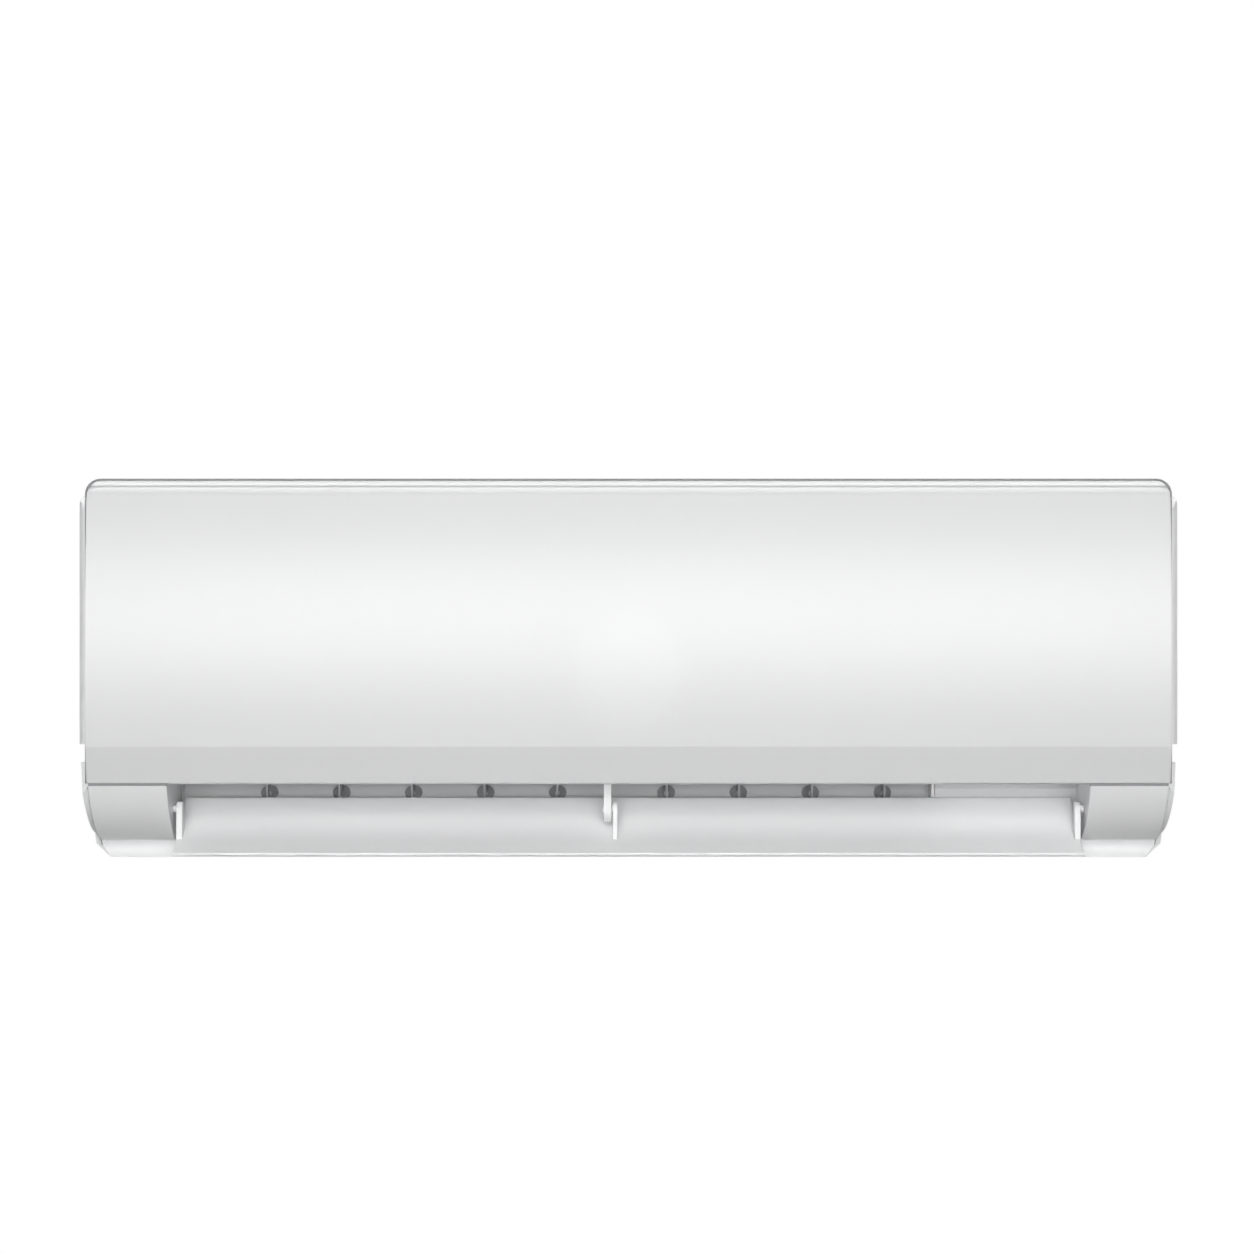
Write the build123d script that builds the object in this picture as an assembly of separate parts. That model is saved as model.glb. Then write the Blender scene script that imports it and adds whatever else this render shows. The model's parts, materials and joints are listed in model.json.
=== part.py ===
from build123d import *
import math
import os

# Indoor unit of a wall-mounted split air conditioner, in millimetres.
# X runs left to right as seen from the room, -Y points into the room, +Z is up.
# The origin is the centre of the wall plate's back face, so the wall is the plane y = 0.

# ---------------------------------------------------------------- overall sizes
WIDTH = 845.0
HEIGHT = 293.0
DEPTH = 209.0
FEW = 8                   # sides of a small round piece that nothing turns on

# ---------------------------------------------------------------- general values
WALL = 2.5            # moulded casing wall
PANEL_WALL = 2.4      # front panel and corner covers
SEAT_GAP = 0.3        # where one piece rests in or on another
PIN_PLAY = 0.08       # radial play of a pin or shaft in its hole
SHEET = 1.2           # wall plate steel

# ---------------------------------------------------------------- casing
PANEL_SIDE_GAP = 7.8      # casing side stands out past the panel
CASING_TOP_DROP = 8.5     # casing top lies below the panel top
CASING_SETBACK = 12.0     # casing front lies behind the panel front
CASING_TOP_ROUND = 24.0   # front upper edge, seen from the side
CASING_CORNER = 14.0      # upper corners, seen from the front
CASING_EDGE = 12.0        # upright front edges, seen from above
CASING_FOOT_BEVEL = 10.5  # lower corners
FOOT_SIDE_STEP = 2.4      # casing side steps in below the finger notch
FOOT_SIDE_TAPER = 3.4     # and narrows this much more towards the bottom
NOTCH_TOP = 89.5          # height of the notch's upper edge above the bottom
NOTCH_HEIGHT = 14.0
NOTCH_DEEP = 11.5         # into the side
NOTCH_LONG = 32.0         # from the casing front backwards
CAP_WIDE = 14.5           # side cap, in from the casing's side
PORT_Y = (-62.0, -14.0)   # opening for the pipes in the left cap
PORT_Z = (9.5, 54.5)      # the same, above the bottom
GRILLE_MARGIN = 24.0      # top grille in from the casing's sides
GRILLE_FRONT = 26.0       # and from its front
GRILLE_REAR_Y = -22.0
BUTTON_R = 4.0
BUTTON_TRAVEL = 1.5

# ---------------------------------------------------------------- front panel
PANEL_LOW = 59.8          # panel's lower edge above the bottom
PANEL_CREASE = 28.2       # bevelled strip along its lower edge
PANEL_BEVEL_BACK = 8.0    # lower edge lies this far behind the front
PANEL_ROLL = 14.2         # radius along its upper edge
PANEL_TOP_TILT = 7.0      # degrees
PANEL_LOW_TILT = 3.5      # degrees
PANEL_CORNER = 12.0       # upper corners, seen from the front
PANEL_RETURN = 10.3       # side returns reach this far back from the front
HINGE_BACK = 22.0         # panel hinge line behind the front
HINGE_DROP = 10.5         # and below the top
HINGE_PIN_R = 2.5
HINGE_ARM_IN = 9.2        # outer face of a hinge arm inside the panel's side
HINGE_ARM_THICK = 4.0

# ---------------------------------------------------------------- outlet
COVER_WIDTH = 60.2        # corner cover beside the outlet
COVER_SIDE_GAP = 1.2      # its outer edge inside the panel's edge
COVER_TOP_GAP = 2.0       # shadow gap under the panel
COVER_FRONT = 7.0         # its upper front edge behind the panel front
COVER_CREASE_BACK = 60.0  # crease behind the panel front
COVER_CREASE_UP = 13.5    # crease above the bottom
COVER_BULGE = 8.0
COVER_STAND = 5.7         # cover face stands this far off the casing
OUTLET_FLOOR_BACK = 64.2  # lip of the duct floor behind the front
OUTLET_FLOOR_UP = 8.5     # and above the bottom
BAY = 114.8             # closed bay right of the air duct
BLANK_BACK = 80.0       # wall that closes the bay side of the outlet, behind the front

# ---------------------------------------------------------------- louver
LOUVER_PIVOT_BACK = 45.0
LOUVER_PIVOT_UP = 38.3
LOUVER_GAP = 2.8          # at each end of the outlet
LOUVER_NOSE = (-27.0, -32.4)   # front edge from the pivot line, y and z
LOUVER_TAIL = (31.0, 7.1)      # rear edge from the pivot line
LOUVER_CAMBER = 5.0
LOUVER_END_TAPER = 3.0    # each end narrows this much from its front edge to its rear edge
LOUVER_WALL = 2.4
LOUVER_PIN_R = 3.0
EAR_R = 5.5
EAR_THICK = 4.6
BRACKET_X = -16.1
BRACKET_THICK = 5.8
BRACKET_R = 10.0
LUG_GAP = 1.1
LUG_THICK = 3.5

# ---------------------------------------------------------------- vanes
VANE_FIRST = 68.8         # first vane from the duct's left wall
VANE_LAST = 37.0          # last vane from its right wall
VANES_LEFT = 5
VANES_RIGHT = 4
GROUP_GAP = 86.3          # between the two groups, across the bracket
VANE_UP_FLOOR = 52.0      # pivots above the lip, along the floor
VANE_THICK = 1.8
VANE_HIGH = 31.0
VANE_TAIL = 17.0          # upstream of the pivot
VANE_NOSE = 21.0          # downstream at the foot
VANE_NOSE_TOP = 4.0       # downstream at the top
VANE_FOOT_R = 7.0
VANE_FOOT_THICK = 1.6
VANE_STEM_R = 2.2
CRANK = 24.0              # link pin upstream of the pivot
LINK_PIN_R = 1.3
LINK_WIDE = 5.0
LINK_THICK = 2.0

# ---------------------------------------------------------------- fan and scroll
COIL_FAN_GAP = 7.0         # between the front coil and the fan
FAN_UP = 141.5            # and above the bottom
FAN_R = 46.0
FAN_BLADES = 20
FAN_CELLS = 4
FAN_RING_SIDES = 24
FAN_BLADE_DEEP = 11.0
FAN_BLADE_THICK = 1.4
FAN_BLADE_LEAN = 11.0      # degrees
FAN_DISC = 2.2
FAN_END_GAP = 10.0
SCROLL_R = 58.0
TONGUE_R = 51.0
TONGUE_ANGLE = 40.0
STUB_R = 4.0
SHAFT_R = 5.0

# ---------------------------------------------------------------- evaporator and filter
COIL_DEEP = 24.0
COIL_LOW = 104.5          # front coil's foot above the bottom
COIL_BACK = 39.0          # front coil's middle behind the front
COIL_KNEE_DROP = 103.0    # knee of the front coils below the top
COIL_APEX_DROP = 44.5
COIL_APEX_BACK = 6.0       # apex of the coils behind the fan axis
COIL_REAR_GAP = 25.0       # rear coil's lower end in front of the chassis back wall
TROUGH_UP = 16.7           # rear drain trough above the scroll's end
COIL_REAR_UP = 16.0        # rear coil's middle line ends this high above the trough
COIL_END_GAP = 3.0
COIL_SHEET = 1.0
BEND_R = 10.5
TUBE_R = 3.5
FILTER_BACK = 19.0        # filter's front face behind the panel front
FILTER_THICK = 2.0
FILTER_TOP_DROP = 19.5    # filter's upper face below the panel top
FILTER_ROUND = 40.0
FILTER_REAR_Y = -62.0
FILTER_SPLIT = 4.0        # gap between the two filters
GRID_THICK = 4.0
GRID_PITCH = 84.0
GRID_RIB = 2.0
GRID_BAR_UP = 118.0       # upper crossbar above the panel's lower edge

# ---------------------------------------------------------------- motor bay
MOTOR_R = 43.0
MOTOR_LONG = 46.0
MOTOR_GAP = 32.0          # motor's left end from the partition
RING_R = 16.0
RING_LONG = 7.0
BOX_WIDE = 68.0
BOX_HIGH = 146.0
BOX_DEEP = 60.0

# ---------------------------------------------------------------- pipes
GAS_R = 4.76
LIQUID_R = 3.18
PIPE_GAP = 1.4            # between the return bends and the pipes that pass them
PIPE_BEND = 26.0
PIPE_ELBOW = 10.0
SPIGOT_R = 8.0
SPIGOT_ARM = 17.0         # pan's outlet arm reaches this far behind the pan

# ---------------------------------------------------------------- wall plate
PLATE_WIDE = 640.0
PIPE_END_IN = 190.0       # pipes end this far inside the duct's left wall
PLATE_HIGH = 170.0
HOOKS_X = 460.0
SCREWS_X = 560.0
SCREWS_Z = 120.0
SCREW_HOLE_R = 2.75
CHASSIS_BACK = 12.0       # chassis back wall in front of the wall
CHASSIS_DOWN = 55.0       # chassis back wall reaches this far below the fan axis
PAN_RIM = 3.5             # rim round the drain pan's floor
FILTER_UP = 46.0          # filter's lower edge above the panel's

# ---------------------------------------------------------------- worked-out places
half = WIDTH / 2
top = HEIGHT / 2
bottom = -HEIGHT / 2
front = -DEPTH
panel_half = half - PANEL_SIDE_GAP
cover_out = panel_half - COVER_SIDE_GAP
outlet_half = cover_out - COVER_WIDTH
duct_left = -outlet_half
duct_right = outlet_half - BAY
vane_steps = VANES_LEFT + VANES_RIGHT - 2
vane_pitch = (duct_right - duct_left - VANE_FIRST - VANE_LAST - GROUP_GAP) / vane_steps
casing_top = top - CASING_TOP_DROP
casing_front = front + CASING_SETBACK
panel_low = bottom + PANEL_LOW
notch_top = bottom + NOTCH_TOP
notch_low = notch_top - NOTCH_HEIGHT
hinge = (front + HINGE_BACK, top - HINGE_DROP)
pivot = (front + LOUVER_PIVOT_BACK, bottom + LOUVER_PIVOT_UP)
lip = (front + OUTLET_FLOOR_BACK, bottom + OUTLET_FLOOR_UP)
fan_axis = (front + COIL_BACK + COIL_DEEP / 2 + COIL_FAN_GAP + FAN_R, bottom + FAN_UP)
cover_low_back = front + COVER_CREASE_BACK
side_wall_y = lip[0] + 28.0        # casing's outlet walls meet the chassis walls here

# the duct floor leaves the lip as a tangent to the scroll
to_fan = (fan_axis[0] - lip[0], fan_axis[1] - lip[1])
lip_to_fan = math.hypot(*to_fan)
floor_angle = math.atan2(to_fan[1], to_fan[0]) - math.asin(SCROLL_R / lip_to_fan)
up_floor = (math.cos(floor_angle), math.sin(floor_angle))
off_floor = (-up_floor[1], up_floor[0])
floor_long = math.sqrt(lip_to_fan**2 - SCROLL_R**2)

# button, service opening and screws of the casing
button_x = duct_right + 52.0
button_z = panel_low + 24.0
service_x0 = duct_right + 92.0
service_x1 = service_x0 + 48.0
service_z0 = panel_low + 50.0
service_z1 = service_z0 + 38.0
screw_y = lip[0] + 14.0


def on_floor(along, off=0.0):
    """A point of the side view: along the duct floor from its lip, and off it."""
    return (lip[0] + along * up_floor[0] + off * off_floor[0], lip[1] + along * up_floor[1] + off * off_floor[1])


# ---------------------------------------------------------------- drawing helpers
def face_up(sketch):
    """The sketch's face, turned so that its normal is the sketch's own z."""
    face = sketch.face()
    return face if face.normal_at().Z > 0 else -face


def outline(*parts):
    """A face closed from lines and arcs given in order."""
    return face_up(make_face(Curve() + list(parts)))


def along_x(face, x0, x1):
    """A side-view face drawn out from x0 to x1."""
    return extrude(Plane.YZ.offset(x0) * face, amount=x1 - x0, dir=(1, 0, 0))


def along_y(face, y0, y1):
    """A front-view face (x, z) drawn out between y0 and y1."""
    return extrude(Plane((0, y1, 0), x_dir=(1, 0, 0), z_dir=(0, -1, 0)) * face, amount=y1 - y0, dir=(0, -1, 0))


def along_z(face, z0, z1):
    """A top-view face drawn out from z0 to z1."""
    return extrude(Plane.XY.offset(z0) * face, amount=z1 - z0, dir=(0, 0, 1))


def flat(*points):
    """A face with straight sides through the points."""
    return face_up(make_face(Polyline(*points, close=True)))


def block(x0, x1, y0, y1, z0, z1):
    """A square-edged block between two corners."""
    return Pos((x0 + x1) / 2, (y0 + y1) / 2, (z0 + z1) / 2) * Box(x1 - x0, y1 - y0, z1 - z0)


def disc(radius, sides=0):
    """A circle, or a polygon with that many sides for a small round piece that nothing turns on."""
    return RegularPolygon(radius, sides) if sides else Circle(radius)


def rod_x(x0, x1, at, radius, sides=0):
    """A round rod along X at a point of the side view."""
    return Pos(0, at[0], at[1]) * along_x(disc(radius, sides), x0, x1)


def rod_y(x, z, y0, y1, radius, sides=0):
    """A round rod along Y."""
    return Pos(x, 0, z) * along_y(disc(radius, sides), y0, y1)


def rod_z(x, y, z0, z1, radius, sides=0):
    """A round rod along Z."""
    return Pos(x, y, 0) * along_z(disc(radius, sides), z0, z1)


def turn(a, middle, b, inset):
    """A rounded corner on the outside of a moulding, a plain bevel on its inside."""
    return Line(a, b) if inset > 0 else ThreePointArc(a, middle, b)


def both_sides(shape):
    """The shape with its mirror image on the other side of the unit."""
    return shape + mirror(shape, about=Plane.YZ)


def save(shape, name):
    """Write one sub-part."""
    export_step(shape, "parts/" + name + ".step")


# ---------------------------------------------------------------- front panel
def panel_side(inset):
    """Side view of the panel, its outer line moved in by inset."""
    top_tilt = math.radians(PANEL_TOP_TILT)
    low_tilt = math.radians(PANEL_LOW_TILT)
    roll_z = top - PANEL_ROLL * (1 - math.sin(top_tilt))
    crease_z = panel_low + PANEL_CREASE
    face_r = (roll_z - crease_z) / (math.sin(top_tilt) + math.sin(low_tilt))
    centre = (front + face_r, crease_z + face_r * math.sin(low_tilt))
    roll = (centre[0] - (face_r - PANEL_ROLL) * math.cos(top_tilt), top - PANEL_ROLL)
    r = face_r - inset
    s = PANEL_ROLL - inset

    def face_point(angle):
        return (centre[0] - r * math.cos(angle), centre[1] + r * math.sin(angle))

    upper, middle, crease = face_point(top_tilt), face_point(0), face_point(-low_tilt)
    crown = (roll[0], roll[1] + s)
    halfway = (math.pi / 2 + top_tilt) / 2
    rolled = (roll[0] - s * math.cos(halfway), roll[1] + s * math.sin(halfway))
    low = (front + PANEL_BEVEL_BACK + inset, panel_low + inset)
    back = front + PANEL_RETURN + 20 * (inset > 0)
    shut = (crown[0] + 20 * (inset > 0), crown[1])
    return outline(
        ThreePointArc(crown, rolled, upper),
        ThreePointArc(upper, middle, crease),
        Polyline(crease, low, (back, low[1]), (back, casing_top - 26), (shut[0] - 4.9, top - 8.5), shut),
        *([Line(shut, crown)] if inset > 0 else [Line(shut, crown)] if shut != crown else []),
    )


def panel_front(inset):
    """Front view of the panel, moved in by inset."""
    w = panel_half - inset
    c = PANEL_CORNER - inset
    z = top - inset
    bend = c * (1 - math.sqrt(0.5))
    return outline(
        turn((w, z - c), (w - bend, z - bend), (w - c, z), inset),
        Line((w - c, z), (c - w, z)),
        turn((c - w, z), (bend - w, z - bend), (-w, z - c), inset),
        Polyline((-w, z - c), (-w, panel_low + inset), (w, panel_low + inset), (w, z - c)),
    )


def panel_shape(inset):
    """The panel's outer form, or its hollow."""
    w = panel_half - inset
    return along_x(panel_side(inset), -w, w) & along_y(panel_front(inset), front - 1, front + 60)


def front_panel():
    outer = panel_shape(0)
    arm_out = panel_half - HINGE_ARM_IN
    arm = along_x(
        flat(
            (hinge[0] + 4.2, hinge[1] - 3),
            (hinge[0] + 3, hinge[1] + 3.6),
            (hinge[0] - 4, hinge[1] + 9.5),
            (hinge[0] - 16, hinge[1] + 4),
            (hinge[0] - 18, hinge[1] - 14),
            (hinge[0] - 12, hinge[1] - 14),
            (hinge[0] - 6, hinge[1] - 4.5),
        ),
        arm_out - HINGE_ARM_THICK,
        arm_out,
    )
    arm &= outer + along_x(flat((hinge[0] - 8, hinge[1] + 8), (hinge[0] - 8, hinge[1] - 6),
                                (hinge[0] + 6, hinge[1] - 6), (hinge[0] + 6, hinge[1] + 8)), 0, half)
    arm -= rod_x(0, half, hinge, HINGE_PIN_R + PIN_PLAY)
    ribs = Part()
    for n in (1, 2):
        z = panel_low + n * (top - panel_low) / 3
        ribs += block(-panel_half + 30, panel_half - 30, front, front + 6.2, z - 1, z + 1)
    for x in (-0.55, 0.0, 0.55):
        ribs += block(x * panel_half - 1, x * panel_half + 1, front, front + 6.2, panel_low + 6, top - 26)
    shell = outer - panel_shape(PANEL_WALL) + (ribs & outer)
    return shell + both_sides(arm)


# ---------------------------------------------------------------- casing
def foot_line(inset):
    """The casing's lower front edge in the side view, between the two given ends."""
    upper = (casing_front + inset, panel_low - COVER_TOP_GAP)
    lower = (cover_low_back + 3.0 + inset, bottom + COVER_CREASE_UP + 5.0 + inset * 0.4)
    middle = ((upper[0] + lower[0]) / 2 - COVER_BULGE * 0.7, (upper[1] + lower[1]) / 2 - COVER_BULGE * 0.7)
    return upper, middle, lower


def casing_side(inset):
    """Side view of the casing, moved in by inset. The hollow runs out through the back."""
    z = casing_top - inset
    y = casing_front + inset
    r = CASING_TOP_ROUND - inset
    bend = r * (1 - math.sqrt(0.5))
    back = -1.0 + 20 * (inset > 0)
    upper, middle, lower = foot_line(inset)
    low = (lower[0] + 5.0, bottom + inset)
    return outline(
        Line((back, z), (y + r, z)),
        ThreePointArc((y + r, z), (y + bend, z - bend), (y, z - r)),
        Line((y, z - r), upper),
        ThreePointArc(upper, middle, lower),
        Polyline(lower, low, (back, bottom + inset), (back, z)),
    )


def casing_outline(inset):
    """Front view of the casing, moved in by inset."""
    w = half - inset
    z = casing_top - inset
    c = CASING_CORNER - inset
    k = c * (1 - math.sqrt(0.5))
    step = w - FOOT_SIDE_STEP
    foot = step - FOOT_SIDE_TAPER
    f = CASING_FOOT_BEVEL - inset * 0.6
    low = bottom + inset
    right = [
        Polyline((0, low), (foot - f, low)),
        Line((foot - f, low), (foot, low + f)),
        Polyline((foot, low + f), (step, notch_low), (step, notch_top), (w, notch_top), (w, z - c)),
        turn((w, z - c), (w - k, z - k), (w - c, z), inset),
        Line((w - c, z), (0, z)),
    ]
    left = [mirror(piece, about=Plane.YZ) for piece in right]
    return outline(*right, *left)


def casing_plan(inset):
    """Top view of the casing, moved in by inset."""
    w = half - inset
    y = casing_front + inset
    r = CASING_EDGE - inset
    k = r * (1 - math.sqrt(0.5))
    return outline(
        Polyline((w - r, y), (r - w, y)),
        turn((r - w, y), (k - w, y + k), (-w, y + r), inset),
        Polyline((-w, y + r), (-w, 20), (w, 20), (w, y + r)),
        turn((w, y + r), (w - k, y + k), (w - r, y), inset),
    )


def casing_shape(inset):
    """The casing's outer form, or its hollow."""
    w = half - inset
    form = along_x(casing_side(inset), -w, w) & along_y(casing_outline(inset), front, 30)
    return form & along_z(casing_plan(inset), bottom - 1, top)


def guide_band(inner, outer):
    """Side view of a strip that follows the filter, between two depths below its outer face."""
    y = front + FILTER_BACK
    z = top - FILTER_TOP_DROP
    low = panel_low + FILTER_UP
    k = 1 - math.sqrt(0.5)

    def edge(d):
        r = FILTER_ROUND - d
        start = (y + d, low)
        bend = (y + d, z - FILTER_ROUND)
        mid = (y + d + r * k, z - d - r * k)
        crest = (y + FILTER_ROUND, z - d)
        return start, bend, mid, crest, (FILTER_REAR_Y, z - d)

    a, b = edge(outer), edge(inner)
    return outline(
        Line(a[0], a[1]),
        ThreePointArc(a[1], a[2], a[3]),
        Polyline(a[3], a[4], b[4], b[3]),
        ThreePointArc(b[3], b[2], b[1]),
        Polyline(b[1], b[0], a[0]),
    )


def guide_grid():
    """Ribs that carry the filters, with two crossbars and a middle rail."""
    under = FILTER_THICK + SEAT_GAP
    band = guide_band(under + GRID_THICK, under)
    first, last = duct_left + 0.5, duct_right - 0.5
    count = round((last - first) / GRID_PITCH)
    step = (last - first - GRID_RIB) / count
    grid = Part()
    for n in range(count + 1):
        x = first + n * step
        grid += along_x(band, x, x + GRID_RIB)
    y = front + FILTER_BACK + under
    z = top - FILTER_TOP_DROP - under
    grid += block(first, last, y, y + GRID_THICK, panel_low + FILTER_UP, panel_low + FILTER_UP + 3.0)
    grid += block(first, last, y, y + GRID_THICK, panel_low + GRID_BAR_UP, panel_low + GRID_BAR_UP + 3.0)
    grid += block(first, last, FILTER_REAR_Y - 3, FILTER_REAR_Y, z - GRID_THICK, z)
    return grid


def outlet_wall():
    """One side wall of the outlet, moulded with the casing."""
    wall = casing_shape(0) & block(outlet_half, outlet_half + WALL, front, side_wall_y, bottom, panel_low + 36)
    return wall


def hinge_cheek():
    """Ear on the casing that holds the panel's hinge pin, right-hand side."""
    x1 = panel_half - HINGE_ARM_IN - HINGE_ARM_THICK - 1.0
    ear = along_x(
        flat(
            (hinge[0] - 4.5, hinge[1] - 2),
            (hinge[0] - 3, hinge[1] + 3.6),
            (hinge[0] + 3, hinge[1] + 4.6),
            (hinge[0] + 16, hinge[1] + 1),
            (hinge[0] + 16, hinge[1] - 12),
            (hinge[0] - 4.5, hinge[1] - 14),
        ),
        x1 - 3.6,
        x1,
    )
    return ear + rod_x(x1, x1 + 1.0 + HINGE_ARM_THICK + 0.6, hinge, HINGE_PIN_R)


def front_frame():
    """Casing between the two side caps, open at the back."""
    shell = casing_shape(0) - casing_shape(WALL)
    shell -= both_sides(block(half - CAP_WIDE, half + 1, front, 30, bottom - 1, top))
    shell += both_sides(outlet_wall())
    window_top = casing_top - 32.0
    shell -= block(duct_left + 0.5, duct_right - 0.5, front, casing_front + WALL + 3, panel_low + 38, window_top)
    shell -= block(-outlet_half, outlet_half, front - 1, side_wall_y, bottom + WALL, panel_low - COVER_TOP_GAP + 5)
    shell -= block(-outlet_half, outlet_half, front - 1, lip[0] - 3.0, bottom - 1, bottom + WALL + 1)
    shell += block(-outlet_half, outlet_half, lip[0] - 3.0, lip[0] - 1.0, bottom + 1, lip[1] - 0.6)
    shell += block(-outlet_half, outlet_half, lip[0] - 3.0, lip[0] + 8.0, bottom, bottom + WALL)
    grille_half = half - GRILLE_MARGIN
    shell -= block(-grille_half, grille_half, casing_front + GRILLE_FRONT, GRILLE_REAR_Y, casing_top - 4, casing_top + 4)
    arm_x = panel_half - HINGE_ARM_IN
    slot = block(arm_x - HINGE_ARM_THICK - 1, arm_x + 1.2, front, hinge[0] + 12, hinge[1] - 18, top)
    shell -= both_sides(slot)
    shell += both_sides(hinge_cheek())
    shell -= both_sides(rod_x(outlet_half - 1, outlet_half + WALL + 1, pivot, LOUVER_PIN_R + PIN_PLAY))
    button = rod_y(button_x, button_z, front, casing_front + 10, BUTTON_R + 0.25)
    service = block(service_x0, service_x1, front, casing_front + 10, service_z0, service_z1)
    shell -= button + service
    for x in (-outlet_half + 60, 0, outlet_half - 60):
        shell += rod_z(x, screw_y, bottom + WALL - 0.5, bottom + WALL + 3.0, 6.0, FEW)
        shell -= rod_z(x, screw_y, bottom - 1, bottom + 8, 2.3, FEW)
        shell -= rod_z(x, screw_y, bottom - 1, bottom + 2.2, 4.6, FEW)
    return shell


def side_cap():
    """Right-hand end of the casing, with its finger notch."""
    cut = half - CAP_WIDE
    cap = (casing_shape(0) - casing_shape(WALL)) & block(cut, half + 1, front, 30, bottom - 1, top)
    notch_back = casing_front + NOTCH_LONG
    cap += block(cut, half, casing_front, notch_back + WALL, notch_low - WALL, notch_top + WALL) & casing_shape(0)
    return cap - block(half - NOTCH_DEEP, half + 5, front, notch_back, notch_low, notch_top)


def left_cap():
    """Left-hand end, with the opening for the pipes."""
    port = block(-half - 1, -half + CAP_WIDE, PORT_Y[0], PORT_Y[1], bottom + PORT_Z[0], bottom + PORT_Z[1])
    return mirror(side_cap(), about=Plane.YZ) - port


def filter_guide():
    """The filter grid with the uprights that stand on the casing's front wall."""
    grid = guide_grid()
    under = FILTER_THICK + SEAT_GAP
    y = front + FILTER_BACK + under
    for x0, x1 in ((duct_left - 4.5, duct_left + 2.5), (duct_right - 1.7, duct_right + 4.8)):
        grid += block(x0, x1, casing_front + WALL, y + GRID_THICK, panel_low + FILTER_UP, casing_top - CASING_TOP_ROUND)
        grid += block(x0, x1, front + FILTER_BACK + FILTER_ROUND, FILTER_REAR_Y,
                      top - FILTER_TOP_DROP - under - GRID_THICK, casing_top - 4)
    return grid


def intake_grille():
    """Slotted grille that snaps into the casing's top."""
    w = half - GRILLE_MARGIN - SEAT_GAP
    y0, y1 = casing_front + GRILLE_FRONT + SEAT_GAP, GRILLE_REAR_Y - SEAT_GAP
    z0, z1 = casing_top - 3.0, casing_top - 0.4
    plate = block(-w, w, y0, y1, z0, z1)
    columns, rows = 8, 7
    step_x = (2 * w - 8) / columns
    step_y = (y1 - y0 - 8) / rows
    slots = []
    for n in range(columns):
        for m in range(rows):
            x = -w + 4 + (n + 0.5) * step_x
            y = y0 + 4 + (m + 0.5) * step_y
            slots.append(Pos(x, y, (z0 + z1) / 2) * Box(step_x - 4.0, step_y - 5.5, 5))
    return plate - slots


# ---------------------------------------------------------------- corner covers
def cover_side(inset):
    """Side view of a corner cover's outer line, moved in by inset."""
    upper = (front + COVER_FRONT + inset, panel_low - COVER_TOP_GAP - inset * 0.3)
    lower = (cover_low_back + inset, bottom + COVER_CREASE_UP + inset * 0.5)
    chord = math.hypot(lower[0] - upper[0], lower[1] - upper[1])
    out = ((lower[1] - upper[1]) / chord, -(lower[0] - upper[0]) / chord)
    middle = ((upper[0] + lower[0]) / 2 + out[0] * COVER_BULGE, (upper[1] + lower[1]) / 2 + out[1] * COVER_BULGE)
    low = (lower[0] - 1.0, bottom)
    sag = (lower[0] + 1.2, (lower[1] + low[1]) / 2)
    back = (lower[0] + 22.0, bottom)
    return outline(
        ThreePointArc(upper, middle, lower),
        ThreePointArc(lower, sag, low),
        Polyline(low, back, (back[0], upper[1]), upper),
    )


def corner_cover():
    """Right-hand corner cover, seated on the casing's lower front edge."""
    x0, x1 = outlet_half, cover_out
    form = along_x(cover_side(0), x0, x1)
    seen = flat((x0, panel_low), (x1, panel_low), (x1 - 1.0, bottom + 20), (x1 - 2.5, bottom + 9),
                   (x1 - 9, bottom), (x0, bottom))
    form &= along_y(seen, front, 0)
    hollow = along_x(cover_side(PANEL_WALL), x0 + PANEL_WALL, x1 - PANEL_WALL)
    casing = casing_shape(-SEAT_GAP)
    cover = form - casing
    cover -= hollow & block(x0 + PANEL_WALL, x1 - PANEL_WALL, front, 0, bottom + 9, panel_low - COVER_TOP_GAP - 2.4)
    return max(cover.solids(), key=lambda solid: solid.volume)


# ---------------------------------------------------------------- louver
def louver_curve(offset):
    """Tail, middle and nose of the louver's curved section, offset to its outer side."""
    tail = (pivot[0] + LOUVER_TAIL[0], pivot[1] + LOUVER_TAIL[1])
    nose = (pivot[0] + LOUVER_NOSE[0], pivot[1] + LOUVER_NOSE[1])
    chord = math.hypot(nose[0] - tail[0], nose[1] - tail[1])
    out = (-(nose[1] - tail[1]) / chord, (nose[0] - tail[0]) / chord)
    middle = (
        (tail[0] + nose[0]) / 2 + out[0] * (LOUVER_CAMBER + offset),
        (tail[1] + nose[1]) / 2 + out[1] * (LOUVER_CAMBER + offset),
    )
    shift = (out[0] * offset, out[1] * offset)
    return (tail[0] + shift[0], tail[1] + shift[1]), middle, (nose[0] + shift[0], nose[1] + shift[1])


def louver_ear(x0, x1):
    """Arm from the blade to the pivot line, round at its end."""
    left, right = (pivot[0] - EAR_R, pivot[1]), (pivot[0] + EAR_R, pivot[1])
    arm = outline(
        ThreePointArc(left, (pivot[0], pivot[1] + EAR_R), right),
        Polyline(right, (pivot[0] + 9, pivot[1] - 18), (pivot[0] - 6, pivot[1] - 26), left),
    )
    return along_x(arm, x0, x1)


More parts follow.
